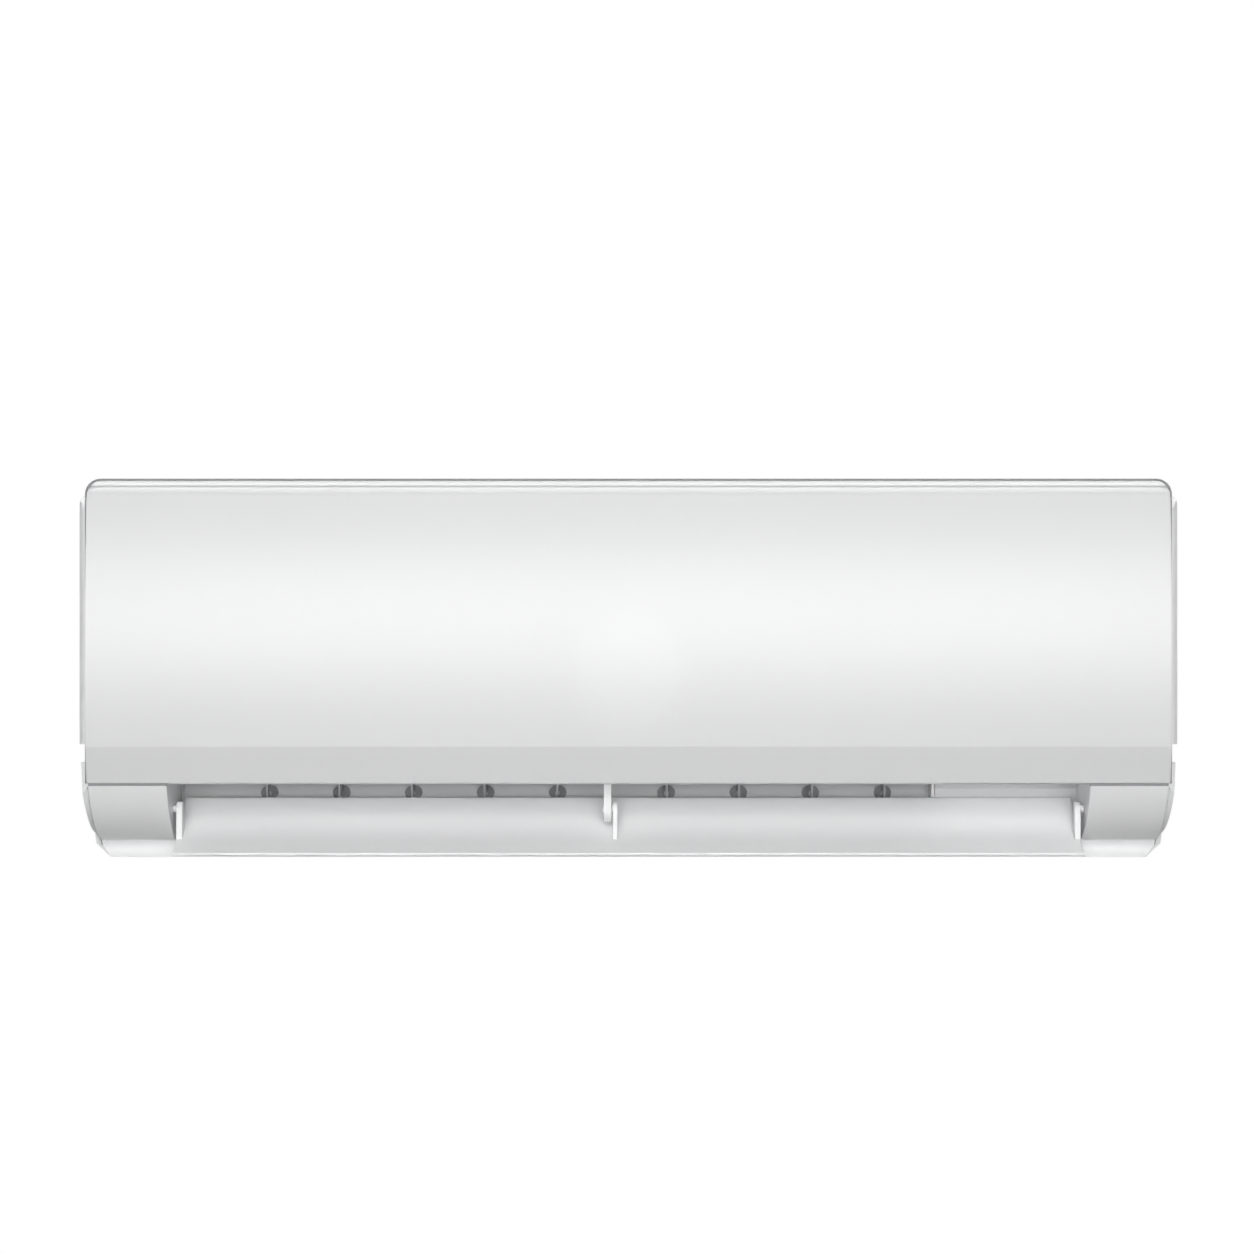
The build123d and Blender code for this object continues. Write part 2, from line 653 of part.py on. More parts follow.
def louver():
    inner, outer = louver_curve(0), louver_curve(LOUVER_WALL)
    blade_face = outline(
        ThreePointArc(*inner),
        Line(inner[2], outer[2]),
        ThreePointArc(*reversed(outer)),
        Line(outer[0], inner[0]),
    )
    w = outlet_half - LOUVER_GAP
    narrow = w - LOUVER_END_TAPER
    plan = flat((-w, inner[2][0] - 5), (w, inner[2][0] - 5), (w, inner[2][0]), (narrow, inner[0][0] + 5),
                (-narrow, inner[0][0] + 5), (-w, inner[2][0]))
    blade = along_x(blade_face, -w, w) & along_z(plan, bottom, panel_low)
    nose = ((inner[2][0] + outer[2][0]) / 2, (inner[2][1] + outer[2][1]) / 2)
    bead = rod_x(-w, w, nose, LOUVER_WALL * 0.62, FEW)
    ears = louver_ear(w - EAR_THICK, w) + louver_ear(-w, EAR_THICK - w)
    lug0 = BRACKET_X + BRACKET_THICK / 2 + LUG_GAP
    lug = louver_ear(lug0, lug0 + LUG_THICK)
    pins = rod_x(BRACKET_X - BRACKET_THICK / 2 - LUG_GAP, lug0 + 0.5, pivot, LOUVER_PIN_R)
    pins += rod_x(w - 1, outlet_half + WALL, pivot, LOUVER_PIN_R)
    pins += rod_x(-outlet_half - WALL, 1 - w, pivot, LOUVER_PIN_R)
    trim = along_x(beyond_blade(louver_curve(LOUVER_WALL / 2)), -w, w)
    arms = ears + lug - trim
    return blade + bead + arms + pins


def beyond_blade(curve):
    """The space on the outer side of a line through the blade, to trim the arms."""
    tail, middle, nose = curve
    return outline(
        ThreePointArc(tail, middle, nose),
        Polyline(nose, (nose[0], nose[1] - 30), (tail[0] + 20, nose[1] - 30), (tail[0] + 20, tail[1]), tail),
    )


def louver_bracket():
    """Fixed arm that carries the middle of the louver."""
    x0 = BRACKET_X - BRACKET_THICK / 2
    x1 = BRACKET_X + BRACKET_THICK / 2
    left, right = (pivot[0] - BRACKET_R, pivot[1]), (pivot[0] + BRACKET_R, pivot[1])
    arm = outline(
        ThreePointArc(right, (pivot[0], pivot[1] - BRACKET_R), left),
        Polyline(left, (pivot[0] - 15, pan_low_at(pivot[0] - 15)), (pivot[0] + 7, pan_low_at(pivot[0] + 7)), right),
    )
    return along_x(arm, x0, x1) - rod_x(x0 - 1, x1 + 1, pivot, LOUVER_PIN_R + PIN_PLAY)


# ---------------------------------------------------------------- drain pan (upper wall of the duct)
pan_tongue = (fan_axis[0] - 37.0, fan_axis[1] - 42.0)
pan_front = (casing_front + WALL + SEAT_GAP, panel_low - 1.0)
pan_floor_z = pan_tongue[1] + WALL


def pan_low_at(y):
    """Height of the pan's underside, which is the duct's upper wall."""
    share = (y - pan_tongue[0]) / (pan_front[0] - pan_tongue[0])
    return pan_tongue[1] + share * (pan_front[1] - pan_tongue[1])


def drain_pan():
    floor_z = pan_floor_z
    outside = flat(
        pan_tongue,
        pan_front,
        (pan_front[0], floor_z + PAN_RIM),
        (pan_front[0] + WALL, floor_z + PAN_RIM),
        (pan_front[0] + WALL, floor_z),
        (pan_tongue[0] - WALL, floor_z),
        (pan_tongue[0] - WALL, floor_z + PAN_RIM),
        (pan_tongue[0], floor_z + PAN_RIM),
    )
    w = outlet_half - 0.5
    right = duct_right + WALL
    pan = along_x(outside, -w, right)
    cavity = flat(
        (pan_front[0] + WALL, pan_low_at(pan_front[0] + WALL) + 3.4),
        (pan_front[0] + WALL, floor_z - WALL),
        (pan_tongue[0] - 14, floor_z - WALL),
        (pan_tongue[0] - 14, pan_low_at(pan_tongue[0] - 14) + 3.4),
    )
    cells = 6
    cell = (w + right - WALL) / cells
    for n in range(cells):
        x = -w + WALL + n * cell
        pan -= along_x(cavity, x, x + cell - WALL)
    for x in (-w, right - WALL):
        pan += block(x, x + WALL, pan_front[0], pan_tongue[0], floor_z - 1, floor_z + PAN_RIM)
    pan += block(right, right + 6, pan_tongue[0] - 18, pan_tongue[0] - 1, spigot_z - 8, floor_z)
    pan += block(right, spigot_x + 10, pan_tongue[0] - 18, pan_tongue[0] - 1, spigot_z - 8, spigot_z + 8)
    pan += block(spigot_x - 10, spigot_x + 10, pan_tongue[0] - 2, spigot_foot, spigot_z - 8, spigot_z + 8)
    pan += rod_y(spigot_x, spigot_z, spigot_foot - 1, spigot_end, SPIGOT_R)
    pan -= rod_y(spigot_x, spigot_z, spigot_foot - 12, spigot_end + 1, SPIGOT_R - 1.8, 12)
    return pan


spigot_x = duct_right + 92.0
spigot_z = pan_tongue[1] - 29.0
spigot_end = pan_tongue[0] + 50.0
spigot_foot = pan_tongue[0] + SPIGOT_ARM

# ---------------------------------------------------------------- rear chassis
scroll_end = on_floor(floor_long)
tongue = (
    fan_axis[0] + TONGUE_R * math.cos(math.radians(TONGUE_ANGLE)),
    fan_axis[1] + TONGUE_R * math.sin(math.radians(TONGUE_ANGLE)),
)
trough_z = tongue[1] + TROUGH_UP
back_wall = -CHASSIS_BACK


def scroll_arc(off=0.0):
    """The scroll behind the fan, tangent to the floor, and the same line moved off it."""
    start = on_floor(floor_long, off)
    base = TangentArc(scroll_end, tongue, tangent=up_floor)
    centre = base.arc_center
    away = Vector(tongue[0] - centre.X, tongue[1] - centre.Y).normalized()
    end = (tongue[0] - off * away.X, tongue[1] - off * away.Y)
    return start, TangentArc(start, end, tangent=up_floor), end


def duct_band():
    """Side view of the duct floor and scroll as one wall."""
    start, inner, end = scroll_arc()
    start2, outer, end2 = scroll_arc(-WALL)
    return outline(
        Line(lip, start),
        inner,
        Line(end, end2),
        outer,
        Line(start2, on_floor(0, -WALL)),
        Line(on_floor(0, -WALL), lip),
    )


def duct_side(front_y, under_z):
    """Side view of a chassis wall at one end of the air duct, down to its own front edge."""
    start, outer, end = scroll_arc(-WALL)
    foot = on_floor((front_y - lip[0] + WALL * off_floor[0]) / up_floor[0], -WALL)
    return outline(
        Line(foot, start),
        outer,
        Polyline(end, (tongue[0] + 2, trough_z), (fan_axis[0] + COIL_APEX_BACK - 4, top - COIL_APEX_DROP - 34),
                 (pan_tongue[0] + 1.0, fan_axis[1] + 40), (pan_tongue[0] + 1.0, panel_low + 36.5),
                 (front_y, under_z), foot),
    )


def rear_chassis():
    left, right = duct_left + 0.5, duct_right
    body = along_x(duct_band(), left, right + WALL)
    body += along_x(duct_side(side_wall_y + 0.5, panel_low + 36.5), left - WALL, left)
    body += along_x(duct_side(front + BLANK_BACK, panel_low + 12), right, right + WALL)
    low = fan_axis[1] - CHASSIS_DOWN
    body += chassis_back(low)
    # rear drain trough under the rear coil
    body += block(left - WALL, right + WALL, tongue[0] - 1.5, back_wall - WALL, trough_z, trough_z + WALL)
    body += block(left - WALL, right + WALL, tongue[0] - 1.5, tongue[0] + 1.0, tongue[1] - 1, trough_z + 12)
    # ribs between the scroll and the back wall
    web = flat(
        (back_wall - 1, trough_z + 1), (tongue[0] + 1.5, trough_z + 1), (fan_axis[0] + TONGUE_R, tongue[1] - 6),
        (fan_axis[0] + TONGUE_R + 7.6, fan_axis[1]), (fan_axis[0] + TONGUE_R + 3.5, fan_axis[1] - 25),
        on_floor(floor_long - 8, -1.2), (back_wall - 1, low + 1),
    )
    inside = along_x(web, left, left + 2)
    ribs = 5
    for n in range(ribs):
        body += Pos((n + 0.5) * (right - left - 2) / ribs, 0, 0) * inside
    # hooks that hang on the wall plate
    for x in (-HOOKS_X / 2, HOOKS_X / 2):
        body += block(x - 12, x + 12, back_wall - 1, -SHEET - 1.8, hook_z, hook_z + 2)
        body += block(x - 12, x + 12, -SHEET - 4.4, -SHEET - 1.8, hook_z - 6, hook_z + 1)
    # bearing seat, shaft hole and motor cradle
    body -= rod_x(left - WALL - 1, left + 1, fan_axis, RING_R, 12)
    body -= rod_x(right - 1, right + WALL + 1, fan_axis, SHAFT_R + 4, 12)
    body += motor_cradle()
    for n in range(VANES_LEFT + VANES_RIGHT):
        body -= floor_hole(vane_x(n))
    return body


def chassis_back(low):
    """Back wall with the rim that stands back to the wall, inside the casing."""
    y0, y1 = back_wall - WALL, -1.5
    z1 = casing_top - WALL
    back = block(-half, half, y0, back_wall, low, z1)
    back += block(-half, half, y0 + 1, y1, low, low + 2)
    inner = casing_shape(WALL + SEAT_GAP)
    rim = block(-half, half, y0 + 1, y1, low, z1) - casing_shape(WALL + SEAT_GAP + 2)
    return (back + rim) & inner


hook_z = top - 52.0


def motor_cradle():
    """Lower half of the motor's seat, from the back wall."""
    x0 = motor_x0 - RING_LONG + 1
    x1 = motor_x1
    seat = Part()
    for x in (x0, x1):
        arm = block(x, x + RING_LONG - 1, fan_axis[0] - RING_R - 6, back_wall - 1, fan_axis[1] - RING_R - 8, fan_axis[1])
        seat += arm - rod_x(x - 1, x + RING_LONG, fan_axis, RING_R + SEAT_GAP, 12)
    return seat


motor_x0 = duct_right + MOTOR_GAP
motor_x1 = motor_x0 + MOTOR_LONG


def floor_hole(x):
    """Hole in the duct floor for a vane's stem."""
    return floor_plane(x) * Pos(0, 0, -2) * Cylinder(VANE_STEM_R + PIN_PLAY, 12)


def floor_plane(x):
    """Frame on the duct floor at a vane: x along X, z off the floor, -y down the floor."""
    at = on_floor(VANE_UP_FLOOR)
    return Plane((x, at[0], at[1]), x_dir=(1, 0, 0), z_dir=(0, off_floor[0], off_floor[1]))


def vane_x(n):
    """Place of vane n, counted from the left."""
    x = duct_left + VANE_FIRST + n * vane_pitch
    if n >= VANES_LEFT:
        x += GROUP_GAP - vane_pitch
    return x


# ---------------------------------------------------------------- vanes and links
def vane(n):
    """One upright vane: blade, round foot, stem through the floor and crank with its link pin."""
    blade = flat(
        (-VANE_NOSE, SEAT_GAP + 1),
        (-VANE_NOSE_TOP, VANE_HIGH),
        (VANE_TAIL - 5, VANE_HIGH),
        (VANE_TAIL, VANE_HIGH - 6),
        (VANE_TAIL, SEAT_GAP + 1),
    )
    body = along_x(blade, -VANE_THICK / 2, VANE_THICK / 2)
    body += along_z(disc(VANE_FOOT_R, 12), SEAT_GAP, SEAT_GAP + VANE_FOOT_THICK)
    body += along_z(disc(VANE_STEM_R), -WALL - 1.5, SEAT_GAP + 1)
    body += block(-1.6, 1.6, VANE_TAIL - 4, CRANK + 1.6, SEAT_GAP, SEAT_GAP + VANE_FOOT_THICK)
    link_z = SEAT_GAP + VANE_FOOT_THICK
    leads = n in (0, VANES_LEFT)
    pin = disc(LINK_PIN_R) if leads else disc(LINK_PIN_R, FEW)
    body += Pos(0, CRANK, 0) * along_z(pin, link_z - 0.5, link_z + LINK_THICK + 1.4)
    return floor_plane(vane_x(n)) * body


def link(first, count):
    """Bar that joins the cranks of one group."""
    z = SEAT_GAP + VANE_FOOT_THICK + SEAT_GAP + LINK_THICK / 2
    long = (count - 1) * vane_pitch
    bar = Pos(long / 2, CRANK, z) * Box(long + LINK_WIDE + 3, LINK_WIDE, LINK_THICK)
    for n in range(count):
        hole = disc(LINK_PIN_R + PIN_PLAY) if n == 0 else disc(LINK_PIN_R + SEAT_GAP, FEW)
        bar -= Pos(n * vane_pitch, CRANK, 0) * along_z(hole, z - LINK_THICK, z + LINK_THICK)
    return floor_plane(vane_x(first)) * bar


# ---------------------------------------------------------------- fan
fan_left = duct_left + FAN_END_GAP
fan_right = duct_right - FAN_END_GAP


def fan_blade():
    """Section of one blade, leaning forwards."""
    inner_r = FAN_R - FAN_BLADE_DEEP
    outer_r = FAN_R - 0.6
    lean = math.radians(FAN_BLADE_LEAN)
    side = FAN_BLADE_THICK / 2

    def at(radius, angle, off):
        return (radius * math.cos(angle) - off * math.sin(angle), radius * math.sin(angle) + off * math.cos(angle))

    return flat(at(inner_r, 0, -side), at(outer_r, lean, -side), at(outer_r, lean, side), at(inner_r, 0, side))


def fan_wheel():
    """Cross-flow wheel: rings with blades between them, each cell's blades half a step on from the last."""
    cell = (fan_right - fan_left - FAN_DISC) / FAN_CELLS
    end = disc(FAN_R, FAN_RING_SIDES)
    ring = end - disc(FAN_R - FAN_BLADE_DEEP - 1.5, FAN_RING_SIDES)
    pieces = []
    for n in range(FAN_CELLS + 1):
        x = fan_left + n * cell
        pieces.append(along_x(end if n in (0, FAN_CELLS) else ring, x, x + FAN_DISC))
    section = fan_blade()
    for n in range(FAN_CELLS):
        shift = n * 360 / FAN_BLADES / 2
        x0 = fan_left + n * cell + FAN_DISC
        for b in range(FAN_BLADES):
            turned = Rot(0, 0, shift + b * 360 / FAN_BLADES) * section
            pieces.append(along_x(turned, x0, x0 + cell - FAN_DISC))
    wheel = pieces[0] + pieces[1:]
    wheel += along_x(disc(12, 12), fan_right - 16, fan_right)
    wheel -= along_x(disc(SHAFT_R), fan_right - 18, fan_right + 1)
    wheel += along_x(disc(9, 12), fan_left, fan_left + 10)
    wheel -= along_x(disc(STUB_R), fan_left - 1, fan_left + 8)
    return Pos(0, fan_axis[0], fan_axis[1]) * wheel


def fan_stub():
    return rod_x(fan_left - 24, fan_left + 8, fan_axis, STUB_R)


def motor_shaft():
    return rod_x(fan_right - 15, motor_x0 + MOTOR_LONG - 8, fan_axis, SHAFT_R)


def fan_motor():
    body = rod_x(motor_x0, motor_x1, fan_axis, MOTOR_R, 24)
    body += rod_x(motor_x0 - RING_LONG, motor_x1 + RING_LONG, fan_axis, RING_R - 5, 12)
    return body - rod_x(motor_x0 - 20, motor_x1 - 6, fan_axis, SHAFT_R + PIN_PLAY)


def motor_rings():
    rings = Part()
    for x in (motor_x0 - RING_LONG + 1.2, motor_x1 + 0.2):
        ring = disc(RING_R, 12) - disc(RING_R - 5 + 0.1, 12)
        rings += Pos(0, fan_axis[0], fan_axis[1]) * along_x(ring, x, x + RING_LONG - 1.4)
    return rings


def motor_clamp():
    """Cover strap that holds the motor down in its seat."""
    z = fan_axis[1] + SEAT_GAP * 0.5
    strap = Part()
    for x in (motor_x0 - RING_LONG + 1, motor_x1):
        arch = rod_x(x, x + RING_LONG - 1, fan_axis, RING_R + 6, 24)
        arch -= rod_x(x - 1, x + RING_LONG, fan_axis, RING_R + SEAT_GAP, 12)
        foot = block(x, x + RING_LONG - 1, fan_axis[0] + RING_R + 3, back_wall - WALL - 1, z, z + 5)
        strap += (arch & block(x, x + RING_LONG, fan_axis[0] - 40, fan_axis[0] + 40, z, z + 60)) + foot
    strap += block(motor_x0 - RING_LONG + 1, motor_x1 + RING_LONG - 1, back_wall - WALL - 9, back_wall - WALL - 1, z, z + 5)
    return strap


def fan_bearing():
    """Rubber-mounted sleeve bearing at the fan's left end."""
    x0 = duct_left - WALL - 6
    return rod_x(x0, x0 + 10, fan_axis, RING_R - 6, 12) - rod_x(x0 - 1, x0 + 11, fan_axis, STUB_R + PIN_PLAY)


def bearing_holder():
    """Round plate that holds the bearing in the chassis wall, with a shallow cup on its outer side."""
    x1 = duct_left + 0.5 - WALL - 0.1
    holder = rod_x(x1 - 2.4, x1, fan_axis, RING_R + 8, 12)
    holder += rod_x(x1 - 8, x1 + WALL + 0.1, fan_axis, RING_R - 1.5, 12)
    return holder - rod_x(x1 - 10, x1 + 10, fan_axis, RING_R - 6 + SEAT_GAP * 0.5, 12)


def polar(centre, radius, angle):
    """A point of the side view at an angle from +Y towards +Z."""
    a = math.radians(angle)
    return (centre[0] + radius * math.cos(a), centre[1] + radius * math.sin(a))


# ---------------------------------------------------------------- evaporator
coil_foot = (front + COIL_BACK, bottom + COIL_LOW)
coil_knee = (front + COIL_BACK, top - COIL_KNEE_DROP)
coil_apex = (fan_axis[0] + COIL_APEX_BACK, top - COIL_APEX_DROP)
coil_rear = (back_wall - COIL_REAR_GAP, trough_z + COIL_REAR_UP)
coil_left = duct_left + COIL_END_GAP
coil_right = duct_right - COIL_END_GAP


def beside(start, end, along, across):
    """A point along a coil's middle line and across it, outwards positive."""
    long = math.hypot(end[0] - start[0], end[1] - start[1])
    d = ((end[0] - start[0]) / long, (end[1] - start[1]) / long)
    return (start[0] + along * d[0] - across * d[1], start[1] + along * d[1] + across * d[0])


def coil_faces():
    """Side views of the three coil blocks, front, upper and rear."""
    lean = math.atan2(coil_apex[1] - coil_knee[1], coil_apex[0] - coil_knee[0])
    knee_cut = COIL_DEEP / 2 * math.tan((math.pi / 2 - lean) / 2)
    rise = math.atan2(coil_apex[1] - coil_rear[1], coil_rear[0] - coil_apex[0])
    apex_cut = COIL_DEEP / 2 * math.tan((lean + rise) / 2)
    gap = 0.4
    faces = []
    for start, end, c0, c1 in (
        (coil_foot, coil_knee, 0.0, knee_cut),
        (coil_knee, coil_apex, knee_cut, apex_cut),
        (coil_apex, coil_rear, apex_cut, 0.0),
    ):
        faces.append(mitred(start, end, c0 and c0, c1 and c1, gap))
    return faces


def mitred(start, end, cut0, cut1, gap):
    """A coil block whose ends are mitred towards its inner (room-away) side."""
    long = math.hypot(end[0] - start[0], end[1] - start[1])
    d = ((end[0] - start[0]) / long, (end[1] - start[1]) / long)
    n = (-d[1], d[0])
    h = COIL_DEEP / 2

    def at(along, across):
        return (start[0] + along * d[0] + across * n[0], start[1] + along * d[1] + across * n[1])

    g0 = gap if cut0 else 0.0
    g1 = gap if cut1 else 0.0
    return flat(
        at(g0 - cut0, h),
        at(long + cut1 - g1, h),
        at(long - cut1 - g1, -h),
        at(cut0 + g0, -h),
    )


def end_sheet(x):
    """Galvanised end sheet over all three blocks."""
    sheet = Part()
    for face in coil_faces():
        sheet += along_x(face, x, x + COIL_SHEET)
    sheet += rod_x(x, x + COIL_SHEET, coil_knee, COIL_DEEP / 2 - 2, 12)
    sheet += rod_x(x, x + COIL_SHEET, coil_apex, COIL_DEEP / 2 - 2, 12)
    return sheet


def bend(x, a, b, side):
    """Return bend between two tube places of the side view, six-sided and turned in five straight steps."""
    middle = ((a[0] + b[0]) / 2, (a[1] + b[1]) / 2)
    r = math.hypot(b[0] - a[0], b[1] - a[1]) / 2
    points = []
    for angle in (0, 0, 45, 135, 180, 180):
        reach = math.sin(math.radians(angle)) * r + (TUBE_R + 1.0 if 0 < angle < 180 else TUBE_R)
        share = math.cos(math.radians(angle))
        points.append((x + side * reach, middle[0] + share * (a[0] - middle[0]), middle[1] + share * (a[1] - middle[1])))
    points[0] = (x, a[0], a[1])
    points[-1] = (x, b[0], b[1])
    section = Plane((x, a[0], a[1]), x_dir=(0, b[0] - a[0], b[1] - a[1]), z_dir=(side, 0, 0)) * RegularPolygon(TUBE_R, 6)
    return sweep(section, path=Polyline(*points), transition=Transition.RIGHT)


def tube_rows():
    """Pairs of tube places on the middle lines of the blocks."""
    pairs = []
    for start, end in ((coil_foot, coil_knee), (coil_knee, coil_apex), (coil_apex, coil_rear)):
        long = math.hypot(end[0] - start[0], end[1] - start[1])
        d = ((end[0] - start[0]) / long, (end[1] - start[1]) / long)
        count = int((long - 4) // (BEND_R * 3))
        pitch = (long - 12) / max(count, 1)
        for n in range(count):
            middle = 6 + (n + 0.5) * pitch
            a = (start[0] + (middle - BEND_R) * d[0], start[1] + (middle - BEND_R) * d[1])
            b = (start[0] + (middle + BEND_R) * d[0], start[1] + (middle + BEND_R) * d[1])
            pairs.append((a, b))
    return pairs


def return_bends(x, side):
    bends = Part()
    for a, b in tube_rows():
        bends += bend(x, a, b, side)
    return bends


# ---------------------------------------------------------------- filters
def filter_screen(x0, x1):
    """One filter: frame with cross bars over its net, a curved sheet with a pull tab."""
    sheet = along_x(guide_band(FILTER_THICK, 0), x0, x1)
    y = front + FILTER_BACK
    low = panel_low + FILTER_UP
    tab = block((x0 + x1) / 2 - 22, (x0 + x1) / 2 + 22, y - 3, y + 1, low + 2, low + 8)
    return sheet + tab


# ---------------------------------------------------------------- bay parts
def outlet_blank():
    """Pale wall that closes the bay side of the outlet, with its upright partition edge."""
    x0, x1 = duct_right + WALL + 0.4, outlet_half - 0.5
    line = [
        (lip[0] + 1.6, bottom + WALL + 0.4),
        (BLANK_BACK + front, pivot[1] - 12),
        (BLANK_BACK + front, pivot[1] + 14),
        (pivot[0] + 31, panel_low - 1.0),
        (casing_front + WALL + 0.4, panel_low - 1.0),
    ]
    shifted = [(y + 2.2, z + (2.2 if n > 2 else 0)) for n, (y, z) in enumerate(line)]
    return along_x(flat(*line, *reversed(shifted)), x0, x1)


def louver_motor():
    """Geared stepper that turns the louver."""
    x0 = outlet_half + WALL + SEAT_GAP
    body = rod_x(x0, x0 + 19, (pivot[0], pivot[1] + 6), 14, 24)
    body += along_x(
        flat((pivot[0] - 17.5, pivot[1] + 2.5), (pivot[0] + 17.5, pivot[1] + 2.5), (pivot[0] + 17.5, pivot[1] + 9.5),
             (pivot[0] - 17.5, pivot[1] + 9.5)),
        x0, x0 + 1.2,
    )
    return body - rod_x(x0 - 1, x0 + 8, pivot, LOUVER_PIN_R + PIN_PLAY)


box_x1 = half - WALL - 22.0
box_x0 = box_x1 - BOX_WIDE
box_z0 = fan_axis[1] - 40.0
box_z1 = box_z0 + BOX_HIGH
box_y1 = casing_front + 28.0 + BOX_DEEP
box_y0 = casing_front + 28.0


def control_box():
    """Tray for the electronics, open to the front, on arms from the chassis back."""
    tray = block(box_x0, box_x1, box_y0, box_y1, box_z0, box_z1)
    tray -= block(box_x0 + 2, box_x1 - 2, box_y0 - 1, box_y1 - 2, box_z0 + 2, box_z1 - 2)
    for x in (box_x0 + 12, box_x1 - 12):
        for z in (box_z0 + 16, box_z1 - 16):
            tray += rod_y(x, z, box_y1 - 7, box_y1 - 1, 3.2, FEW)
    for z in (box_z0 + 20, box_z1 - 26):
        tray += block(box_x0 + 6, box_x0 + 12, box_y1 - 1, back_wall - WALL - 0.2, z, z + 8)
        tray += block(box_x1 - 12, box_x1 - 6, box_y1 - 1, back_wall - WALL - 0.2, z, z + 8)
    return tray


def control_board():
    """Circuit board with its taller parts."""
    y1 = box_y1 - 7 - 0.2
    x0, x1, z0, z1 = box_x0 + 4, box_x1 - 4, box_z0 + 5, box_z1 - 5
    board = block(x0, x1, y1 - 1.6, y1, z0, z1)
    board += block(x0 + 6, x0 + 26, y1 - 18, y1 - 1, z0 + 8, z0 + 23)
    board += block(x0 + 32, x0 + 48, y1 - 17, y1 - 1, z0 + 10, z0 + 30)
    board += rod_y(x0 + 16, z0 + 44, y1 - 22, y1 - 1, 8, 12)
    board += rod_y(x0 + 38, z0 + 48, y1 - 16, y1 - 1, 5, FEW)
    board += block(x0 + 8, x0 + 36, y1 - 14, y1 - 1, z0 + 66, z0 + 90)
    for n in range(4):
        board += block(x0 + 42, x0 + 54, y1 - 9, y1 - 1, z0 + 62 + n * 15, z0 + 72 + n * 15)
    return board


def control_box_cover():
    y = box_y0 - 0.2
    cover = block(box_x0, box_x1, y - 1.8, y, box_z0, box_z1)
    cover += block(box_x0 + 2.3, box_x1 - 2.3, y - 1, y + 5, box_z0 + 2.3, box_z1 - 2.3)
    cover -= block(box_x0 + 4.3, box_x1 - 4.3, y, y + 6, box_z0 + 4.3, box_z1 - 4.3)
    return cover


def terminal_block():
    """Five-way terminal strip with its barriers and screws."""
    x0 = (service_x0 + service_x1) / 2 - 20
    z0 = (service_z0 + service_z1) / 2 - 9
    y1 = box_y0 - 2.2
    strip = block(x0, x0 + 40, y1 - 9, y1, z0, z0 + 18)
    for n in range(6):
        strip += block(x0 + n * 7.7, x0 + n * 7.7 + 1.5, y1 - 15, y1 - 1, z0, z0 + 18)
    for n in range(5):
        strip += rod_y(x0 + n * 7.7 + 4.6, z0 + 9, y1 - 11.5, y1 - 1, 2.4, FEW)
    return strip


def terminal_cover():
    y = casing_front - 0.2
    lid = block(service_x0 - 3, service_x1 + 3, y - 1.8, y, service_z0 - 3, service_z1 + 3)
    lid += block(service_x0 + 0.4, service_x1 - 0.4, y - 1, y + 3.5, service_z0 + 0.4, service_z1 - 0.4)
    lid -= block(service_x0 + 2.2, service_x1 - 2.2, y, y + 5, service_z0 + 2.2, service_z1 - 2.2)
    return lid


def manual_button():
    y0 = casing_front - 1.8
    stem = rod_y(button_x, button_z, y0, casing_front + WALL + 5.2, BUTTON_R)
    flange = rod_y(button_x, button_z, casing_front + WALL + 0.3, casing_front + WALL + 1.8, BUTTON_R + 2, FEW)
    return stem + flange


def receiver_board():
    """Small board behind the casing front: key switch, remote receiver and lamps."""
    y0 = casing_front + WALL + 9.0
    board = block(button_x - 36, button_x + 22, y0, y0 + 1.6, button_z - 14, button_z + 14)
    board += block(button_x - 3.5, button_x + 3.5, y0 - 1.8, y0 + 0.5, button_z - 3.5, button_z + 3.5)
    board += rod_y(button_x - 24, button_z, y0 - 5, y0 + 0.5, 3.6, FEW)
    for x in (button_x - 12, button_x + 14):
        board += rod_y(x, button_z + 6, y0 - 4, y0 + 0.5, 1.5, 6)
    for x in (button_x - 31, button_x + 17):
        board += rod_y(x, button_z - 9, casing_front + WALL + 0.1, y0 + 0.5, 2.5, 6)
    return board


# ---------------------------------------------------------------- pipes
gas_at = (back_wall - 18.0, bottom + 38.5)
liquid_at = (back_wall - 34.0, bottom + 22.5)
pipe_end = duct_left + PIPE_END_IN


def pipe(start, x_down, at, radius):
    """Pipe from the coil's end, down the bay and along the trough behind the duct, its bends in two steps."""
    corners = [
        Vector(coil_right + COIL_SHEET + SEAT_GAP, start[0], start[1]),
        Vector(x_down, start[0], start[1]),
        Vector(x_down, at[0], at[1]),
        Vector(pipe_end, at[0], at[1]),
    ]
    points = [corners[0]]
    for before, corner, after, reach in zip(corners, corners[1:], corners[2:], (PIPE_ELBOW, PIPE_BEND)):
        back = (before - corner).normalized()
        on = (after - corner).normalized()
        points += [corner + back * reach, corner + (back + on) * reach * 0.29, corner + on * reach]
    points.append(corners[-1])
    section = Plane(points[0], z_dir=(1, 0, 0)) * disc(radius, 10)
    return sweep(section, path=Polyline(*points), transition=Transition.RIGHT)


def flare_nut(at, pipe_r, thread_r, hex_r, long):
    """Hexagonal nut on the end of a pipe, open to the left for the line set."""
    x1 = pipe_end + 10.0
    nut = along_x(RegularPolygon(hex_r, 6), x1 - long, x1)
    nut -= along_x(Circle(thread_r), x1 - long - 1, x1 - long + 12.0)
    nut -= along_x(disc(pipe_r + SEAT_GAP, 10), x1 - long, x1 + 1)
    return Pos(0, at[0], at[1]) * nut


